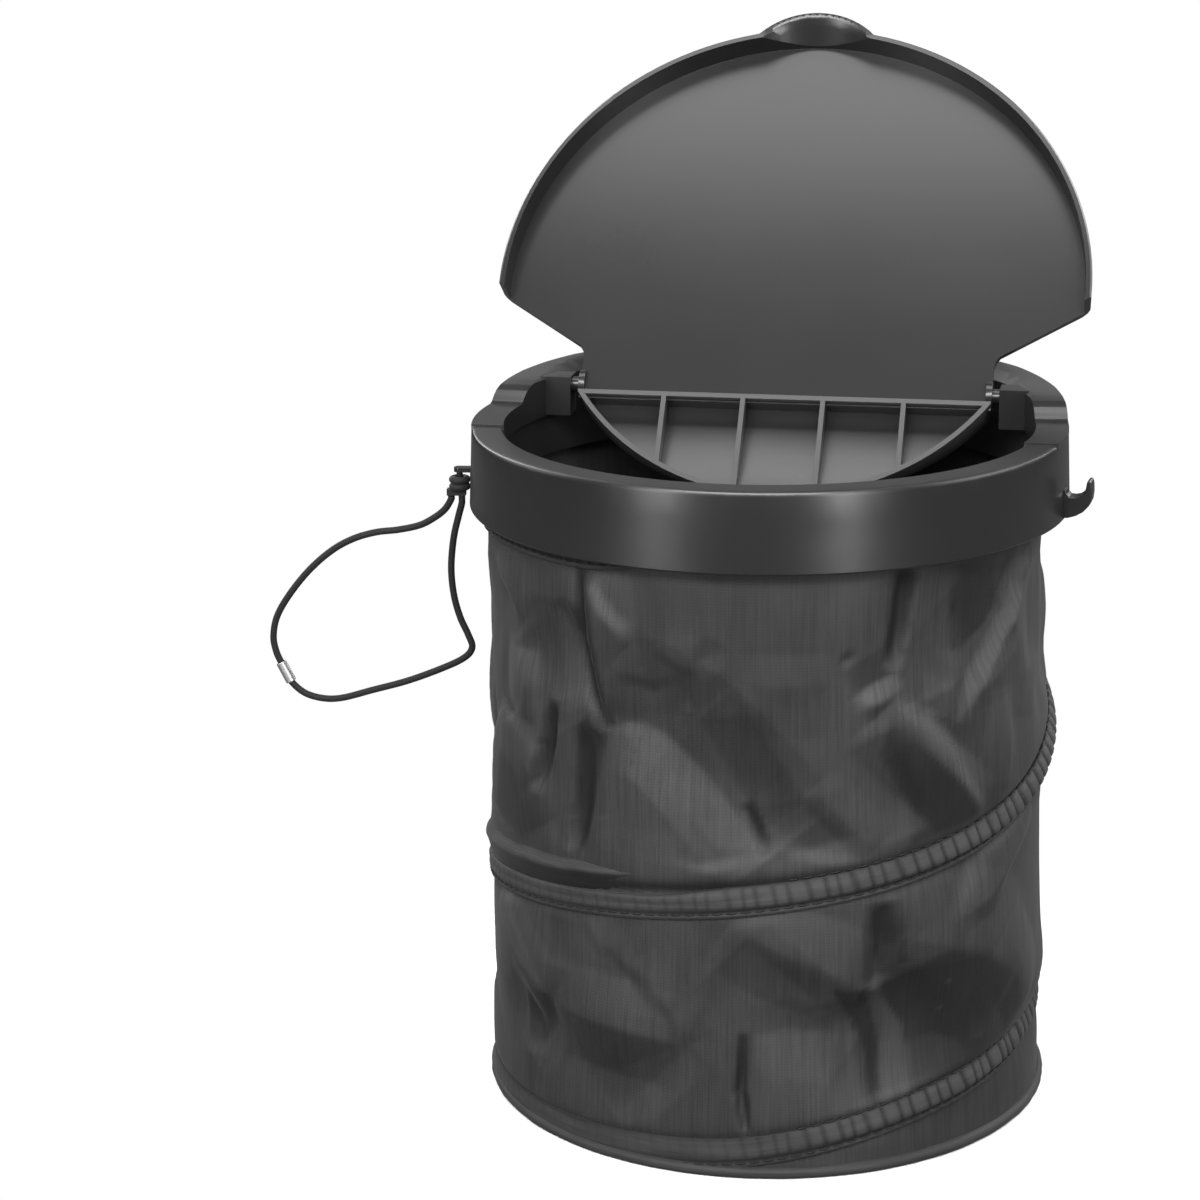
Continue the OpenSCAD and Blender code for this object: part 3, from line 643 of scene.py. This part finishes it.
def seam_relief(angle, height):
    """The shape next to the spiral, and a mask that keeps folds away from the casing."""
    relief = np.zeros(angle.shape)
    calm = np.ones(angle.shape)
    for whole in (-720, -360, 0, 360):
        turn = angle + whole
        on = (turn >= TURN_START - 4) & (turn <= TURN_END + 4)
        s = height - ridge(turn)
        up = np.clip(s, 0, None) / FLARE_FADE
        above = at_turn(FLARE, turn) * up * np.exp(1 - up)
        groove = -SEAM_DEPTH * np.exp(-((s + 0.4) ** 2) / SEAM_WIDTH)
        below = -DRAWN_IN * np.exp(np.clip(s + 8, None, 0) / DRAWN_FADE) * (s < -4)
        gather = np.sin(turn * 2 * np.pi / GATHER_PITCH) * GATHER_DEPTH * np.exp(-np.abs(s + 4) / 5)
        pinch = at_turn(PINCH, turn) * np.exp(-((s + 3) ** 2) / 60)
        relief += np.where(on, above + groove + below + gather + pinch, 0)
        lip = 6.5 * np.clip(at_turn(LIP, turn) * 2, 0, 1)
        held = np.where(s < -4, smoothstep(3.6, 7.5, -s - 4), smoothstep(-0.4 + lip, 3.5 + lip, s))
        calm = np.where(on, np.minimum(calm, held), calm)
    return relief, calm


# Where the cloth hangs slack at the sides it falls inwards: heights, then how far
SLACK_RIGHT = (
    [38, 60, 85, 98, 112, 125, 140, 158, 172],
    [0, -0.7, -1.6, -0.8, -0.8, -2.5, -2.4, -3.5, -2.6],
)
SLACK_LEFT = ([84, 95, 145, 158], [0, -1.1, -1.1, 0])
FOLD_GAIN, CRUMPLE_GAIN = 2.0, 0.35
MOST_OUT, MOST_IN = 2.6, 3.6  # where the folds level off, out and in


def crumple(a, z):
    """Creases between the drawn folds: a noise whose zero lines are sharp."""
    x = BAG_R * math.cos(math.radians(a))
    y = BAG_R * math.sin(math.radians(a))
    wide = abs(wobble(x / 26, y / 26, z / 34))
    small = abs(wobble(x / 12 + 9, y / 12, z / 17))
    return 2.2 * wide + 0.8 * small - 0.75


def cloth_radius(angle, height):
    relief, calm = seam_relief(angle, height)
    ripple = np.array([crumple(a, z) for a, z in zip(angle.ravel(), height.ravel())]).reshape(angle.shape)
    held = smoothstep(2.5, 9, height) * smoothstep(177, 169, height)
    folds = FOLD_GAIN * fold_relief(angle, height) + CRUMPLE_GAIN * ripple
    folds = np.where(folds > 0, MOST_OUT * np.tanh(folds / MOST_OUT), MOST_IN * np.tanh(folds / MOST_IN))
    right = np.exp(-((wrapped(angle - 4) / 27) ** 2)) * np.interp(height, *SLACK_RIGHT)
    left = np.exp(-((wrapped(angle + 168) / 15) ** 2)) * np.interp(height, *SLACK_LEFT)
    loose = relief * smoothstep(0, 5, height) * smoothstep(179, 172, height)
    return BAG_R + held * calm * folds + loose + right + left


# %% Cut the flat strip, roll it and sew it into a tube
COLUMNS, ROWS = 290, 164
CLOTH_LOW, CLOTH_HIGH = 1.2, 191.6
CROWDED = 24  # degrees that the columns shift towards the front
DARK_DEPTH = 1.6  # a crease this deep is fully in shade
deselect()
bpy.ops.mesh.primitive_grid_add(x_subdivisions=COLUMNS, y_subdivisions=ROWS, size=1, calc_uvs=True)
bag = bpy.context.object
co = np.zeros(len(bag.data.vertices) * 3)
bag.data.vertices.foreach_get("co", co)
flat = co.reshape(-1, 3)
# the columns stand closer together on the front than on the back
share = flat[:, 0] + 0.5
angle = 90 + 360 * share + CROWDED * np.sin(2 * np.pi * share)
height = CLOTH_LOW + (CLOTH_HIGH - CLOTH_LOW) * (flat[:, 1] + 0.5)
radius = cloth_radius(angle, height)
tube = ring_points(radius, angle, height) * MM
bag.data.vertices.foreach_set("co", tube.ravel())
# Painted light and shade for the cloth's colour: paler where it leans up, darker in deep creases, in the
# shadow under the lip, and the amount of each listed facet
slope = (fold_relief(angle, height - 0.5) - fold_relief(angle, height + 0.5)) * 2.0
deep = np.clip(-fold_relief(angle, height, DEEP) / DARK_DEPTH, 0, 1)
calm = seam_relief(angle, height)[1]
around = wrapped(angle + 90) - 90
under_lip = np.interp(around, [-178, -170, -95, -80, -62], [0, 1, 1, 0.6, 0])
painted_lip_shadow = under_lip * np.exp(-((height - ridge(around) - 1) ** 2) / 5)
# nine readings close together soften the painted facets' edges
painted_facets = sum(facet_painted_light(angle + da, height + dz) for da in (-0.4, 0, 0.4) for dz in (-0.6, 0, 0.6)) / 9
set_amount(bag, "lean", painted_facets + calm * (0.4 * np.tanh(5 * slope) - 0.7 * deep) - 0.9 * painted_lip_shadow)
uv = np.zeros(len(bag.data.loops) * 2)
bag.data.uv_layers.active.data.foreach_get("uv", uv)
uv = uv.reshape(-1, 2) * [2 * math.pi * BAG_R * MM, (CLOTH_HIGH - CLOTH_LOW) * MM]
bag.data.uv_layers.active.data.foreach_set("uv", uv.ravel())
merge_doubles()
apply_modifier(bag, "SOLIDIFY", thickness=0.7 * MM, offset=-1)
bpy.ops.object.shade_smooth()
finish_piece(bag, "bag_cloth", "base", cloth, ["bag_wall", "top_hem"])
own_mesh(bag)

# %% [markdown]
# ## The casing and its stitches
# The wire runs in a casing that is sewn to the cloth and winds round the bag. It is a strip with a round
# top where the wire lies and a flat lower edge, made as a skin over lines that follow the spiral. On the
# right it is gathered into small square puckers. On the left the cloth above it is tucked over it as a
# lip.

# %% The gathered casing
TURN_STEP = 0.25
PUCKER_PITCH = 3.1  # degrees from one pucker to the next
casing_turn = np.arange(TURN_START, TURN_END + 0.1, TURN_STEP)
# The band's outline from the top down: height above the ridge, how far out, and how much a pucker moves it.
# On the right it slopes out to the sewn edge; on the left it lies low, under the lip.
BAND_RIGHT = np.array([
    (0.4, -0.5, 0), (0.5, 0.0, 0.1), (0.2, 0.35, 0.4), (-0.5, 0.7, 0.9), (-1.5, 1.05, 1), (-2.6, 1.35, 1),
    (-3.6, 1.55, 1), (-4.5, 1.65, 1), (-5.2, 1.5, 0.9), (-5.8, 1.0, 0.5), (-6.3, 0.4, 0.1), (-6.9, 0.3, 0),
    (-7.4, 0.55, 0.1), (-7.9, 0.6, 0.1), (-8.3, 0.3, 0), (-8.2, -0.5, 0),
])  # fmt: skip
BAND_LEFT = np.array([
    (-1.5, -0.5, 0), (-1.5, 0.1, 0.1), (-1.6, 0.5, 0.2), (-1.9, 0.85, 0.3), (-2.5, 1.05, 0.4),
    (-3.2, 0.95, 0.6), (-3.8, 0.75, 0.5), (-4.4, 0.8, 0.5), (-5.0, 1.0, 0.6), (-5.6, 0.9, 0.4),
    (-6.2, 0.5, 0.2), (-6.9, 0.3, 0), (-7.4, 0.55, 0.1), (-7.9, 0.6, 0.1), (-8.3, 0.3, 0), (-8.2, -0.5, 0),
])  # fmt: skip
GATHER = np.array([
    (-540, 0.1), (-455, 0.1), (-430, 0.7), (-380, 1.1), (-360, 0.7), (-300, 0.4), (-180, 0.25),
    (-120, 0.45), (-90, 0.5), (-60, 0.8), (-30, 1.15), (30, 1), (60, 0.6), (306, 0.3),
])  # fmt: skip
gather_amount = at_turn(GATHER, casing_turn)
step_noise = np.array([wobble(t * 0.19, 4.2, 0) for t in casing_turn])
size_noise = np.array([wobble(t * 0.35, 9.1, 0) for t in casing_turn])


def wound_skin(name, lines, degrees, start):
    """A skin over the lines of a band that winds round the bag, listed from its top edge down."""
    return skin_rings(name, np.stack(lines, 1)[:, ::-1] * MM, np.radians(degrees - start) * BAG_R * MM)


rings = []
painted_casing_shade = []
low_side = np.clip(at_turn(LIP, casing_turn) / 0.8, 0, 1)
hold = at_turn(PINCH, casing_turn)
swell = np.interp(casing_turn, [-540, -445, -425, -60, -20, 60, 120], [0.45, 0.45, 1, 1, 1.55, 1.55, 1])
# its first end goes into the cloth
buried = 1 - smoothstep(TURN_START, TURN_START + 12, casing_turn)
for right_side, left_side in zip(BAND_RIGHT, BAND_LEFT):
    s, out, puckered = [a + (b - a) * low_side for a, b in zip(right_side, left_side)]
    # a pucker is a narrow dent that leans a little, between two square cushions
    lean = (casing_turn / PUCKER_PITCH + 0.55 * step_noise + 0.05 * s) % 1.0
    dent = np.exp(-((np.minimum(lean, 1 - lean) / 0.15) ** 2))
    cushion = 0.4 - dent * (1.0 + 0.5 * size_noise)
    plain = BAG_R - 1.2 * buried + out * np.where(out > 0, swell * (1 - buried), 1)
    r = plain + puckered * gather_amount * cushion * 0.6 + hold
    z = np.maximum(ridge(casing_turn) + s, 0.9 + 0.05 * (s + 8.2))
    rings.append(ring_points(r, casing_turn, z))
    # painted shade along the two seams and in each pucker's dent, and painted light on the cushions
    seam_shade = -0.9 * np.exp(-((s - 0.3) ** 2) / 0.5) - 0.7 * np.exp(-((s + 6.6) ** 2) / 0.5)
    painted_casing_shade.append(seam_shade + puckered * gather_amount * (0.4 - 1.25 * dent))
casing = wound_skin("spiral_casing", rings, casing_turn, TURN_START)
set_amount(casing, "lean", np.stack(painted_casing_shade, 1)[:, ::-1])
finish_piece(casing, "spiral_casing", "base", casing_cloth, ["spiral_channel"])
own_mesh(casing)

# %% The wire in the casing, bent inwards with it
# It starts a little later than the casing, and lies low where the casing is flat.
WIRE_R = 0.55
wire_turn = np.arange(TURN_START + 16, TURN_END + 0.1, 2.0)
sunk = np.interp(wire_turn, [-445, -420], [-0.6, 0.3]) + at_turn(PINCH, wire_turn)
rings = []
for k in range(8):
    up = WIRE_R * math.sin(k * math.pi / 4)
    r = BAG_R + sunk + WIRE_R * math.cos(k * math.pi / 4)
    rings.append(ring_points(r, wire_turn, np.maximum(ridge(wire_turn) - 2.8 + up, 1.6 + up)))
wire = wound_skin("wire_in_casing", rings, wire_turn, TURN_START)
finish_piece(wire, "wire_in_casing", "base", spring_steel, ["spiral_wire"])
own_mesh(wire)

# %% The lip: on the left the cloth above the casing is tucked over it and throws it in shade
LIP_BAND = np.array([
    (9, -0.6), (7.8, -0.15), (6.9, 0.2), (6.1, 0.6), (5.4, 1.05), (4.8, 1.4), (4.3, 1.6), (3.9, 1.6),
    (3.5, 1.45), (2.4, 1.1), (0.9, 0.7), (-0.7, 0.3), (-1.6, 0.1), (-1.6, -0.6),
])  # fmt: skip
LIP_START = -204
lip_turn = np.arange(LIP_START, -87.9, 0.5)
lip_size = at_turn(LIP, lip_turn)
lip_wave = np.array([wobble(t * 0.16, 1.7, 0) for t in lip_turn])
rings = []
for s, out in LIP_BAND:
    # towards the front the lip dives into the cloth
    r = BAG_R - 0.5 + (out + 0.5) * lip_size * (1 + 0.12 * lip_wave) - 2.2 * smoothstep(-130, -92, lip_turn)
    rings.append(ring_points(r, lip_turn, ridge(lip_turn) + s + 0.5 * lip_wave * (s > 1)))
lip = wound_skin("casing_lip", rings, lip_turn, LIP_START)
# painted shade on the lip's underside, and a little painted light on its upper face
shade_of = np.interp(LIP_BAND[:, 0], [-1.6, 2.5, 3.6, 4.2, 5.5, 9], [-1, -1, -0.8, 0.25, 0.2, 0])
set_amount(lip, "lean", (np.clip(lip_size, 0, 1)[:, None] * shade_of[None])[:, ::-1])
finish_piece(lip, "casing_lip", "base", cloth)
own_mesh(lip)

# %% Stitches along the casing: one small thread, repeated
# Spun sewing thread, which gives the eye dark dashes that hardly shine.
STITCH, GAP, THREAD_R = 2.7, 1.1, 0.24
thread_finish = make_cloth("sewing_thread", "#0c0c0c", "#141414", 0.6)


def stitch_run(name, low, high, s, out):
    """Dashes of thread from one turned angle to another, s above the ridge and so far out of the bag."""
    count = int(math.radians(high - low) * BAG_R / (STITCH + GAP))
    half = math.degrees(STITCH / 2 / BAG_R)
    faces, points = [], []
    for i in range(count):
        middle = low + (i + 0.5) * (high - low) / count
        for k, thin in ((-1, 0.35), (-0.75, 0.85), (0, 1), (0.75, 0.85), (1, 0.35)):
            t = middle + k * half
            r0 = BAG_R + out + at_turn(PINCH, t) - 0.12 * abs(k)
            z0 = float(ridge(t)) + s
            for q in range(6):
                r = r0 + THREAD_R * thin * math.cos(q * math.pi / 3)
                z = z0 + THREAD_R * thin * math.sin(q * math.pi / 3)
                x, y = r * math.cos(math.radians(t)), r * math.sin(math.radians(t))
                points.append((x * MM, y * MM, z * MM))
        base = i * 30
        for a in range(4):
            for q in range(6):
                n = (q + 1) % 6
                faces.append((base + a * 6 + q, base + a * 6 + 6 + q, base + a * 6 + 6 + n, base + a * 6 + n))
        faces.append(tuple(base + q for q in range(6)))
        faces.append(tuple(base + 24 + q for q in range(5, -1, -1)))
    mesh = bpy.data.meshes.new(name)
    mesh.from_pydata(points, [], faces)
    mesh.uv_layers.new(name="UVMap")
    piece = bpy.data.objects.new(name, mesh)
    scene.collection.objects.link(piece)
    finish_piece(piece, name, "base", thread_finish)
    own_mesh(piece)


stitch_run("casing_stitches", -478, TURN_END - 2, -6.9, 0.75)
stitch_run("top_stitches_low", -436, -330, 0.8, 0.6)
stitch_run("top_stitches_high", -78, 70, 0.8, 0.6)

# %% [markdown]
# ## The foot of the bag
# A hoop keeps the bag's foot round. The cloth is rolled over it, so the cover is a soft ring with small
# puckers: round rings, closed into a doughnut. The floor is a disc of the same cloth, a little uneven.

# %% Hoop cover
COVER_R = 1.75
hoop_turn = np.arange(0, 360, 1.0)
pucker = np.array([wobble(math.cos(a) * 16, math.sin(a) * 16, 1.5) for a in np.radians(hoop_turn)])
profile_turn = np.radians(np.arange(0, 360, 24))
hoop_rings = []
for q in profile_turn:
    grow = 0.25 * pucker * (math.cos(q) > -0.3)
    r = BAG_R - 0.15 + (COVER_R + grow) * math.cos(q)
    z = COVER_R + (COVER_R + 0.5 * grow * (math.sin(q) > 0)) * math.sin(q)
    hoop_rings.append(ring_points(r, hoop_turn, z))
hoop_rings = np.stack(hoop_rings, 1) * MM
hoop_rings = np.concatenate([hoop_rings, hoop_rings[:1]], 0)
hoop_cover = skin_rings(
    "hoop_cover", hoop_rings, np.radians(np.arange(0, 361, 1.0)) * BAG_R * MM, close_ends=False
)
choose(hoop_cover)
merge_doubles()
finish_piece(hoop_cover, "hoop_cover", "base", casing_cloth, ["base_hoop_cover"])

# %% Floor of the bag
deselect()
bpy.ops.mesh.primitive_circle_add(vertices=96, radius=78.2 * MM, fill_type="NGON", location=(0, 0, 0.8 * MM))
bag_floor = bpy.context.object
bpy.ops.object.transform_apply(location=True)
bpy.ops.object.mode_set(mode="EDIT")
bpy.ops.mesh.select_all(action="SELECT")
for ring_no in range(9):
    bpy.ops.mesh.inset(thickness=7.8 * MM, depth=0)
bpy.ops.mesh.merge(type="CENTER")
bpy.ops.mesh.select_all(action="SELECT")
bpy.ops.mesh.normals_make_consistent(inside=False)
bpy.ops.object.mode_set(mode="OBJECT")
for v in bag_floor.data.vertices:
    away = math.hypot(v.co.x, v.co.y) / MM
    v.co.z += 0.35 * MM * wobble(v.co.x * 60, v.co.y * 60, 3) * float(smoothstep(78, 60, away))
bag_floor.data.uv_layers.new(name="UVMap")
uv_floor = bag_floor.data.uv_layers.active.data
for corner in bag_floor.data.loops:
    uv_floor[corner.index].uv = bag_floor.data.vertices[corner.vertex_index].co.xy
apply_modifier(bag_floor, "SOLIDIFY", thickness=0.4 * MM, offset=-1)
bpy.ops.object.shade_smooth()
finish_piece(bag_floor, "floor_cloth", "base", cloth, ["bag_floor"])

# %% [markdown]
# ## The moulded parts
# The collar, lid and hook are exact in the CAD model, but a CAD edge is perfectly sharp and catches no
# light. A copy of each mesh gets its doubles merged and a small bevel along every sharp edge. The skirt of
# the lid gets a wider chamfer round its open end first, and the tops of the tray's ribs get a painted
# highlight.


# %% Copy a CAD part and soften its edges
SHARP_ANGLE = math.radians(28)
CHAMFER = 1.6 * MM


def soften(source, name, body, material, width, outer_edge=None):
    made = bpy.data.objects.new(name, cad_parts[source].data.copy())
    scene.collection.objects.link(made)
    choose(made)
    bpy.ops.object.mode_set(mode="EDIT")
    bpy.ops.mesh.customdata_custom_splitnormals_clear()
    bpy.ops.mesh.select_all(action="SELECT")
    bpy.ops.mesh.remove_doubles(threshold=0.005 * MM)
    bpy.ops.object.mode_set(mode="OBJECT")
    if outer_edge:
        chosen = outer_edge(made.data)
        bpy.ops.object.mode_set(mode="EDIT")
        bpy.ops.mesh.select_mode(type="EDGE")
        bpy.ops.mesh.select_all(action="DESELECT")
        bpy.ops.object.mode_set(mode="OBJECT")
        for edge in chosen:
            made.data.edges[edge].select = True
        print(name, "has", len(chosen), "edges along its outer end")
        bpy.ops.object.mode_set(mode="EDIT")
        bpy.ops.mesh.bevel(offset=CHAMFER, segments=1, affect="EDGES", clamp_overlap=True)
        bpy.ops.object.mode_set(mode="OBJECT")
    apply_modifier(
        made, "BEVEL", width=width * MM, segments=2, limit_method="ANGLE", angle_limit=SHARP_ANGLE,
        harden_normals=False, use_clamp_overlap=True,
    )  # fmt: skip
    bpy.ops.object.shade_smooth()
    apply_modifier(made, "WEIGHTED_NORMAL", weight=80, keep_sharp=False)
    finish_piece(made, name, body, material, [source])
    return made


PIVOT = Vector((0.1, 30.5, 196.5)) * MM
OPEN = math.radians(128.5)
SKIRT_R = 85.9 * MM
# The ribs as closed: how far behind the pivot they start, how far under it their tops lie, how deep the
# painted highlight on their tops reaches
RIBS_BEHIND, RIBS_UNDER, HIGHLIGHT_DEPTH = 3.2 * MM, 4 * MM, 0.5 * MM


def as_closed(mesh):
    """Where the lid's points would be if the lid were closed."""
    turned = []
    for v in mesh.vertices:
        y, z = v.co.y - PIVOT.y, v.co.z - PIVOT.z
        turned.append(Vector((
            v.co.x - PIVOT.x,
            math.cos(OPEN) * y - math.sin(OPEN) * z + PIVOT.y,
            math.sin(OPEN) * y + math.cos(OPEN) * z + PIVOT.z,
        )))  # fmt: skip
    return turned


def skirt_end(mesh):
    """The edges round the outside of the skirt's open end."""
    turned = as_closed(mesh)
    low = min(p.z for p in turned if p.y < -0.02)
    outside = [abs(p.z - low) < 0.05 * MM and math.hypot(p.x, p.y) > SKIRT_R for p in turned]
    return [e.index for e in mesh.edges if outside[e.vertices[0]] and outside[e.vertices[1]]]


soften("collar", "collar_moulding", "collar", collar_plastic, 0.35)
soften("clamp_ring", "clamp_ring_moulding", "collar", collar_plastic, 0.3)
soften("side_hook", "hook_moulding", "collar", collar_plastic, 0.5)
soften("cord_eye", "peg_moulding", "collar", collar_plastic, 0.2)
lid = soften("lid", "lid_moulding", "lid", lid_plastic, 0.5, outer_edge=skirt_end)
# painted highlight along the tops of the tray's ribs
rib_top_highlight = [
    (p.y > PIVOT.y + RIBS_BEHIND) * (1 - (p.z - PIVOT.z + RIBS_UNDER) / HIGHLIGHT_DEPTH)
    for p in as_closed(lid.data)
]
set_amount(lid, "painted_highlight", np.maximum(rib_top_highlight, 0))
soften("loop_crimp", "crimp_sleeve", "collar", crimp_metal, 0.2)

# %% The hoop keeps its CAD shape
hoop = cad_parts["base_hoop"]
hoop.data.materials.clear()
hoop.data.materials.append(spring_steel)
print("the hoop has", len(hoop.data.polygons), "faces")

# %% [markdown]
# ## The elastic loop
# The cord is a tube along the line that was settled at the start. It is hitched to the peg: a few turns
# round the bar and one across them make the small dark knot beside the collar.

# %% Cord and knot
loop = skin_rings("elastic_cord", tube_rings(loop_line, CORD_R * MM, 12, (0, 1, 0)), loop_along)
finish_piece(loop, "elastic_cord", "collar", cord_finish, ["elastic_loop"])
knot = bpy.data.objects.new("cord_knot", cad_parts["loop_knot"].data.copy())
scene.collection.objects.link(knot)
finish_piece(knot, "cord_knot", "collar", cord_finish, ["loop_knot"])
crimp = bpy.data.objects["crimp_sleeve"]
for piece in (loop, crimp):
    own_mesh(piece)

# %% [markdown]
# ## Floor and light
# A plain pale floor keeps the shadow and fades to white away from the bin. Two upright strips, one on each
# side of the camera, give the two soft highlights on the collar. A wide box above the front lights the
# cloth, a small one overhead lights the lid's underside, and a narrow one the ribs. Boxes at the sides and
# behind, and one high at the rear, show the other sides and the raised rear of the collar.

# %% Floor
# Matt white paper, which gives the eye plain white and a soft shadow. Only the camera sees it pale; to the
# bin it is dark, so that it throws no light up at the black plastic.
deselect()
bpy.ops.mesh.primitive_plane_add(size=8)
floor = bpy.context.object
floor.name = "studio_floor"
floor_finish, tree, shader = new_material("pale_paper", Roughness=0.9)
seen_by_camera = node(tree, "ShaderNodeLightPath")
away = node(
    tree, "ShaderNodeVectorMath", None, {0: node(tree, "ShaderNodeTexCoord").outputs["Object"]},
    operation="LENGTH",
)  # fmt: skip
fade = node(tree, "ShaderNodeMapRange", {"From Min": 0.1, "From Max": 0.2}, {"Value": away.outputs["Value"]},
            interpolation_type="SMOOTHSTEP")  # fmt: skip
fade = node(
    tree, "ShaderNodeMath", None,
    {0: fade.outputs[0], 1: seen_by_camera.outputs["Is Camera Ray"]}, operation="MULTIPLY",
)  # fmt: skip
plain_white = node(tree, "ShaderNodeEmission", {"Color": (1, 1, 1, 1), "Strength": 1.0})
pale = node(
    tree, "ShaderNodeMix", {"A": (0.1, 0.1, 0.1, 1), "B": (0.9, 0.9, 0.9, 1)},
    {"Factor": seen_by_camera.outputs["Is Camera Ray"]}, data_type="RGBA",
)  # fmt: skip
tree.links.new(pale.outputs["Result"], shader.inputs["Base Color"])
paper = node(
    tree, "ShaderNodeMixShader", None, {0: fade.outputs[0], 1: shader.outputs[0], 2: plain_white.outputs[0]}
)
tree.links.new(paper.outputs[0], tree.nodes["Material Output"].inputs["Surface"])
floor.data.materials.append(floor_finish)

# %% World: white to the camera, and a plain grey fill on the object
# Reflections see the grey fill and not the white, which would turn the black plastic grey.
world = bpy.data.worlds.new("studio")
scene.world = world
world.use_nodes = True
tree = world.node_tree
tree.nodes.clear()
path = node(tree, "ShaderNodeLightPath")
seen = node(
    tree, "ShaderNodeMath", None, {0: path.outputs["Is Camera Ray"], 1: path.outputs["Is Transmission Ray"]},
    operation="MAXIMUM",
)  # fmt: skip
fill = node(tree, "ShaderNodeBackground", {"Color": (1, 1, 1, 1), "Strength": 0.06})
white = node(tree, "ShaderNodeBackground", {"Color": (1, 1, 1, 1), "Strength": 1.0})
mixed = node(
    tree, "ShaderNodeMixShader", None, {0: seen.outputs[0], 1: fill.outputs[0], 2: white.outputs[0]}
)
node(tree, "ShaderNodeOutputWorld", None, {"Surface": mixed.outputs[0]})


# %% Soft boxes
def soft_box(name, place, aim, size, power):
    deselect()
    bpy.ops.object.light_add(type="AREA", location=place)
    lamp = bpy.context.object
    lamp.name = name
    lamp.data.shape = "RECTANGLE"
    lamp.data.size, lamp.data.size_y = size
    lamp.data.energy = power
    lamp.rotation_mode = "QUATERNION"
    lamp.rotation_quaternion = (Vector(aim) - Vector(place)).to_track_quat("-Z", "Y")
    print(name, "gives", power, "W")


soft_box("overhead_box", (0.0, 0.05, 0.54), (0, 0.1, 0.28), (0.34, 0.18), 0.95)
soft_box("rib_box", (0.0, -0.21, 0.54), (0, -0.03, 0.17), (0.5, 0.08), 0.08)
soft_box("front_top_box", (0.0, -0.95, 0.85), (0, 0, 0.1), (1.1, 0.3), 22)
soft_box("left_strip", (-0.6, -0.97, 0.36), (0, 0, 0.14), (0.26, 0.66), 5.6)
soft_box("right_strip", (0.68, -0.93, 0.36), (0, 0, 0.14), (0.17, 0.66), 6.4)
soft_box("left_side_box", (-1.0, 0.1, 0.7), (0, 0, 0.1), (0.8, 0.8), 5)
soft_box("right_side_box", (1.0, 0.1, 0.7), (0, 0, 0.1), (0.8, 0.8), 8)
soft_box("left_rear_box", (-0.8, 0.9, 0.7), (0, 0, 0.12), (0.6, 0.6), 6)
soft_box("right_rear_box", (0.8, 0.9, 0.7), (0, 0, 0.12), (0.6, 0.6), 8)
soft_box("rear_top_box", (0.0, 1.0, 0.75), (0, 0.05, 0.19), (0.9, 0.5), 1.0)
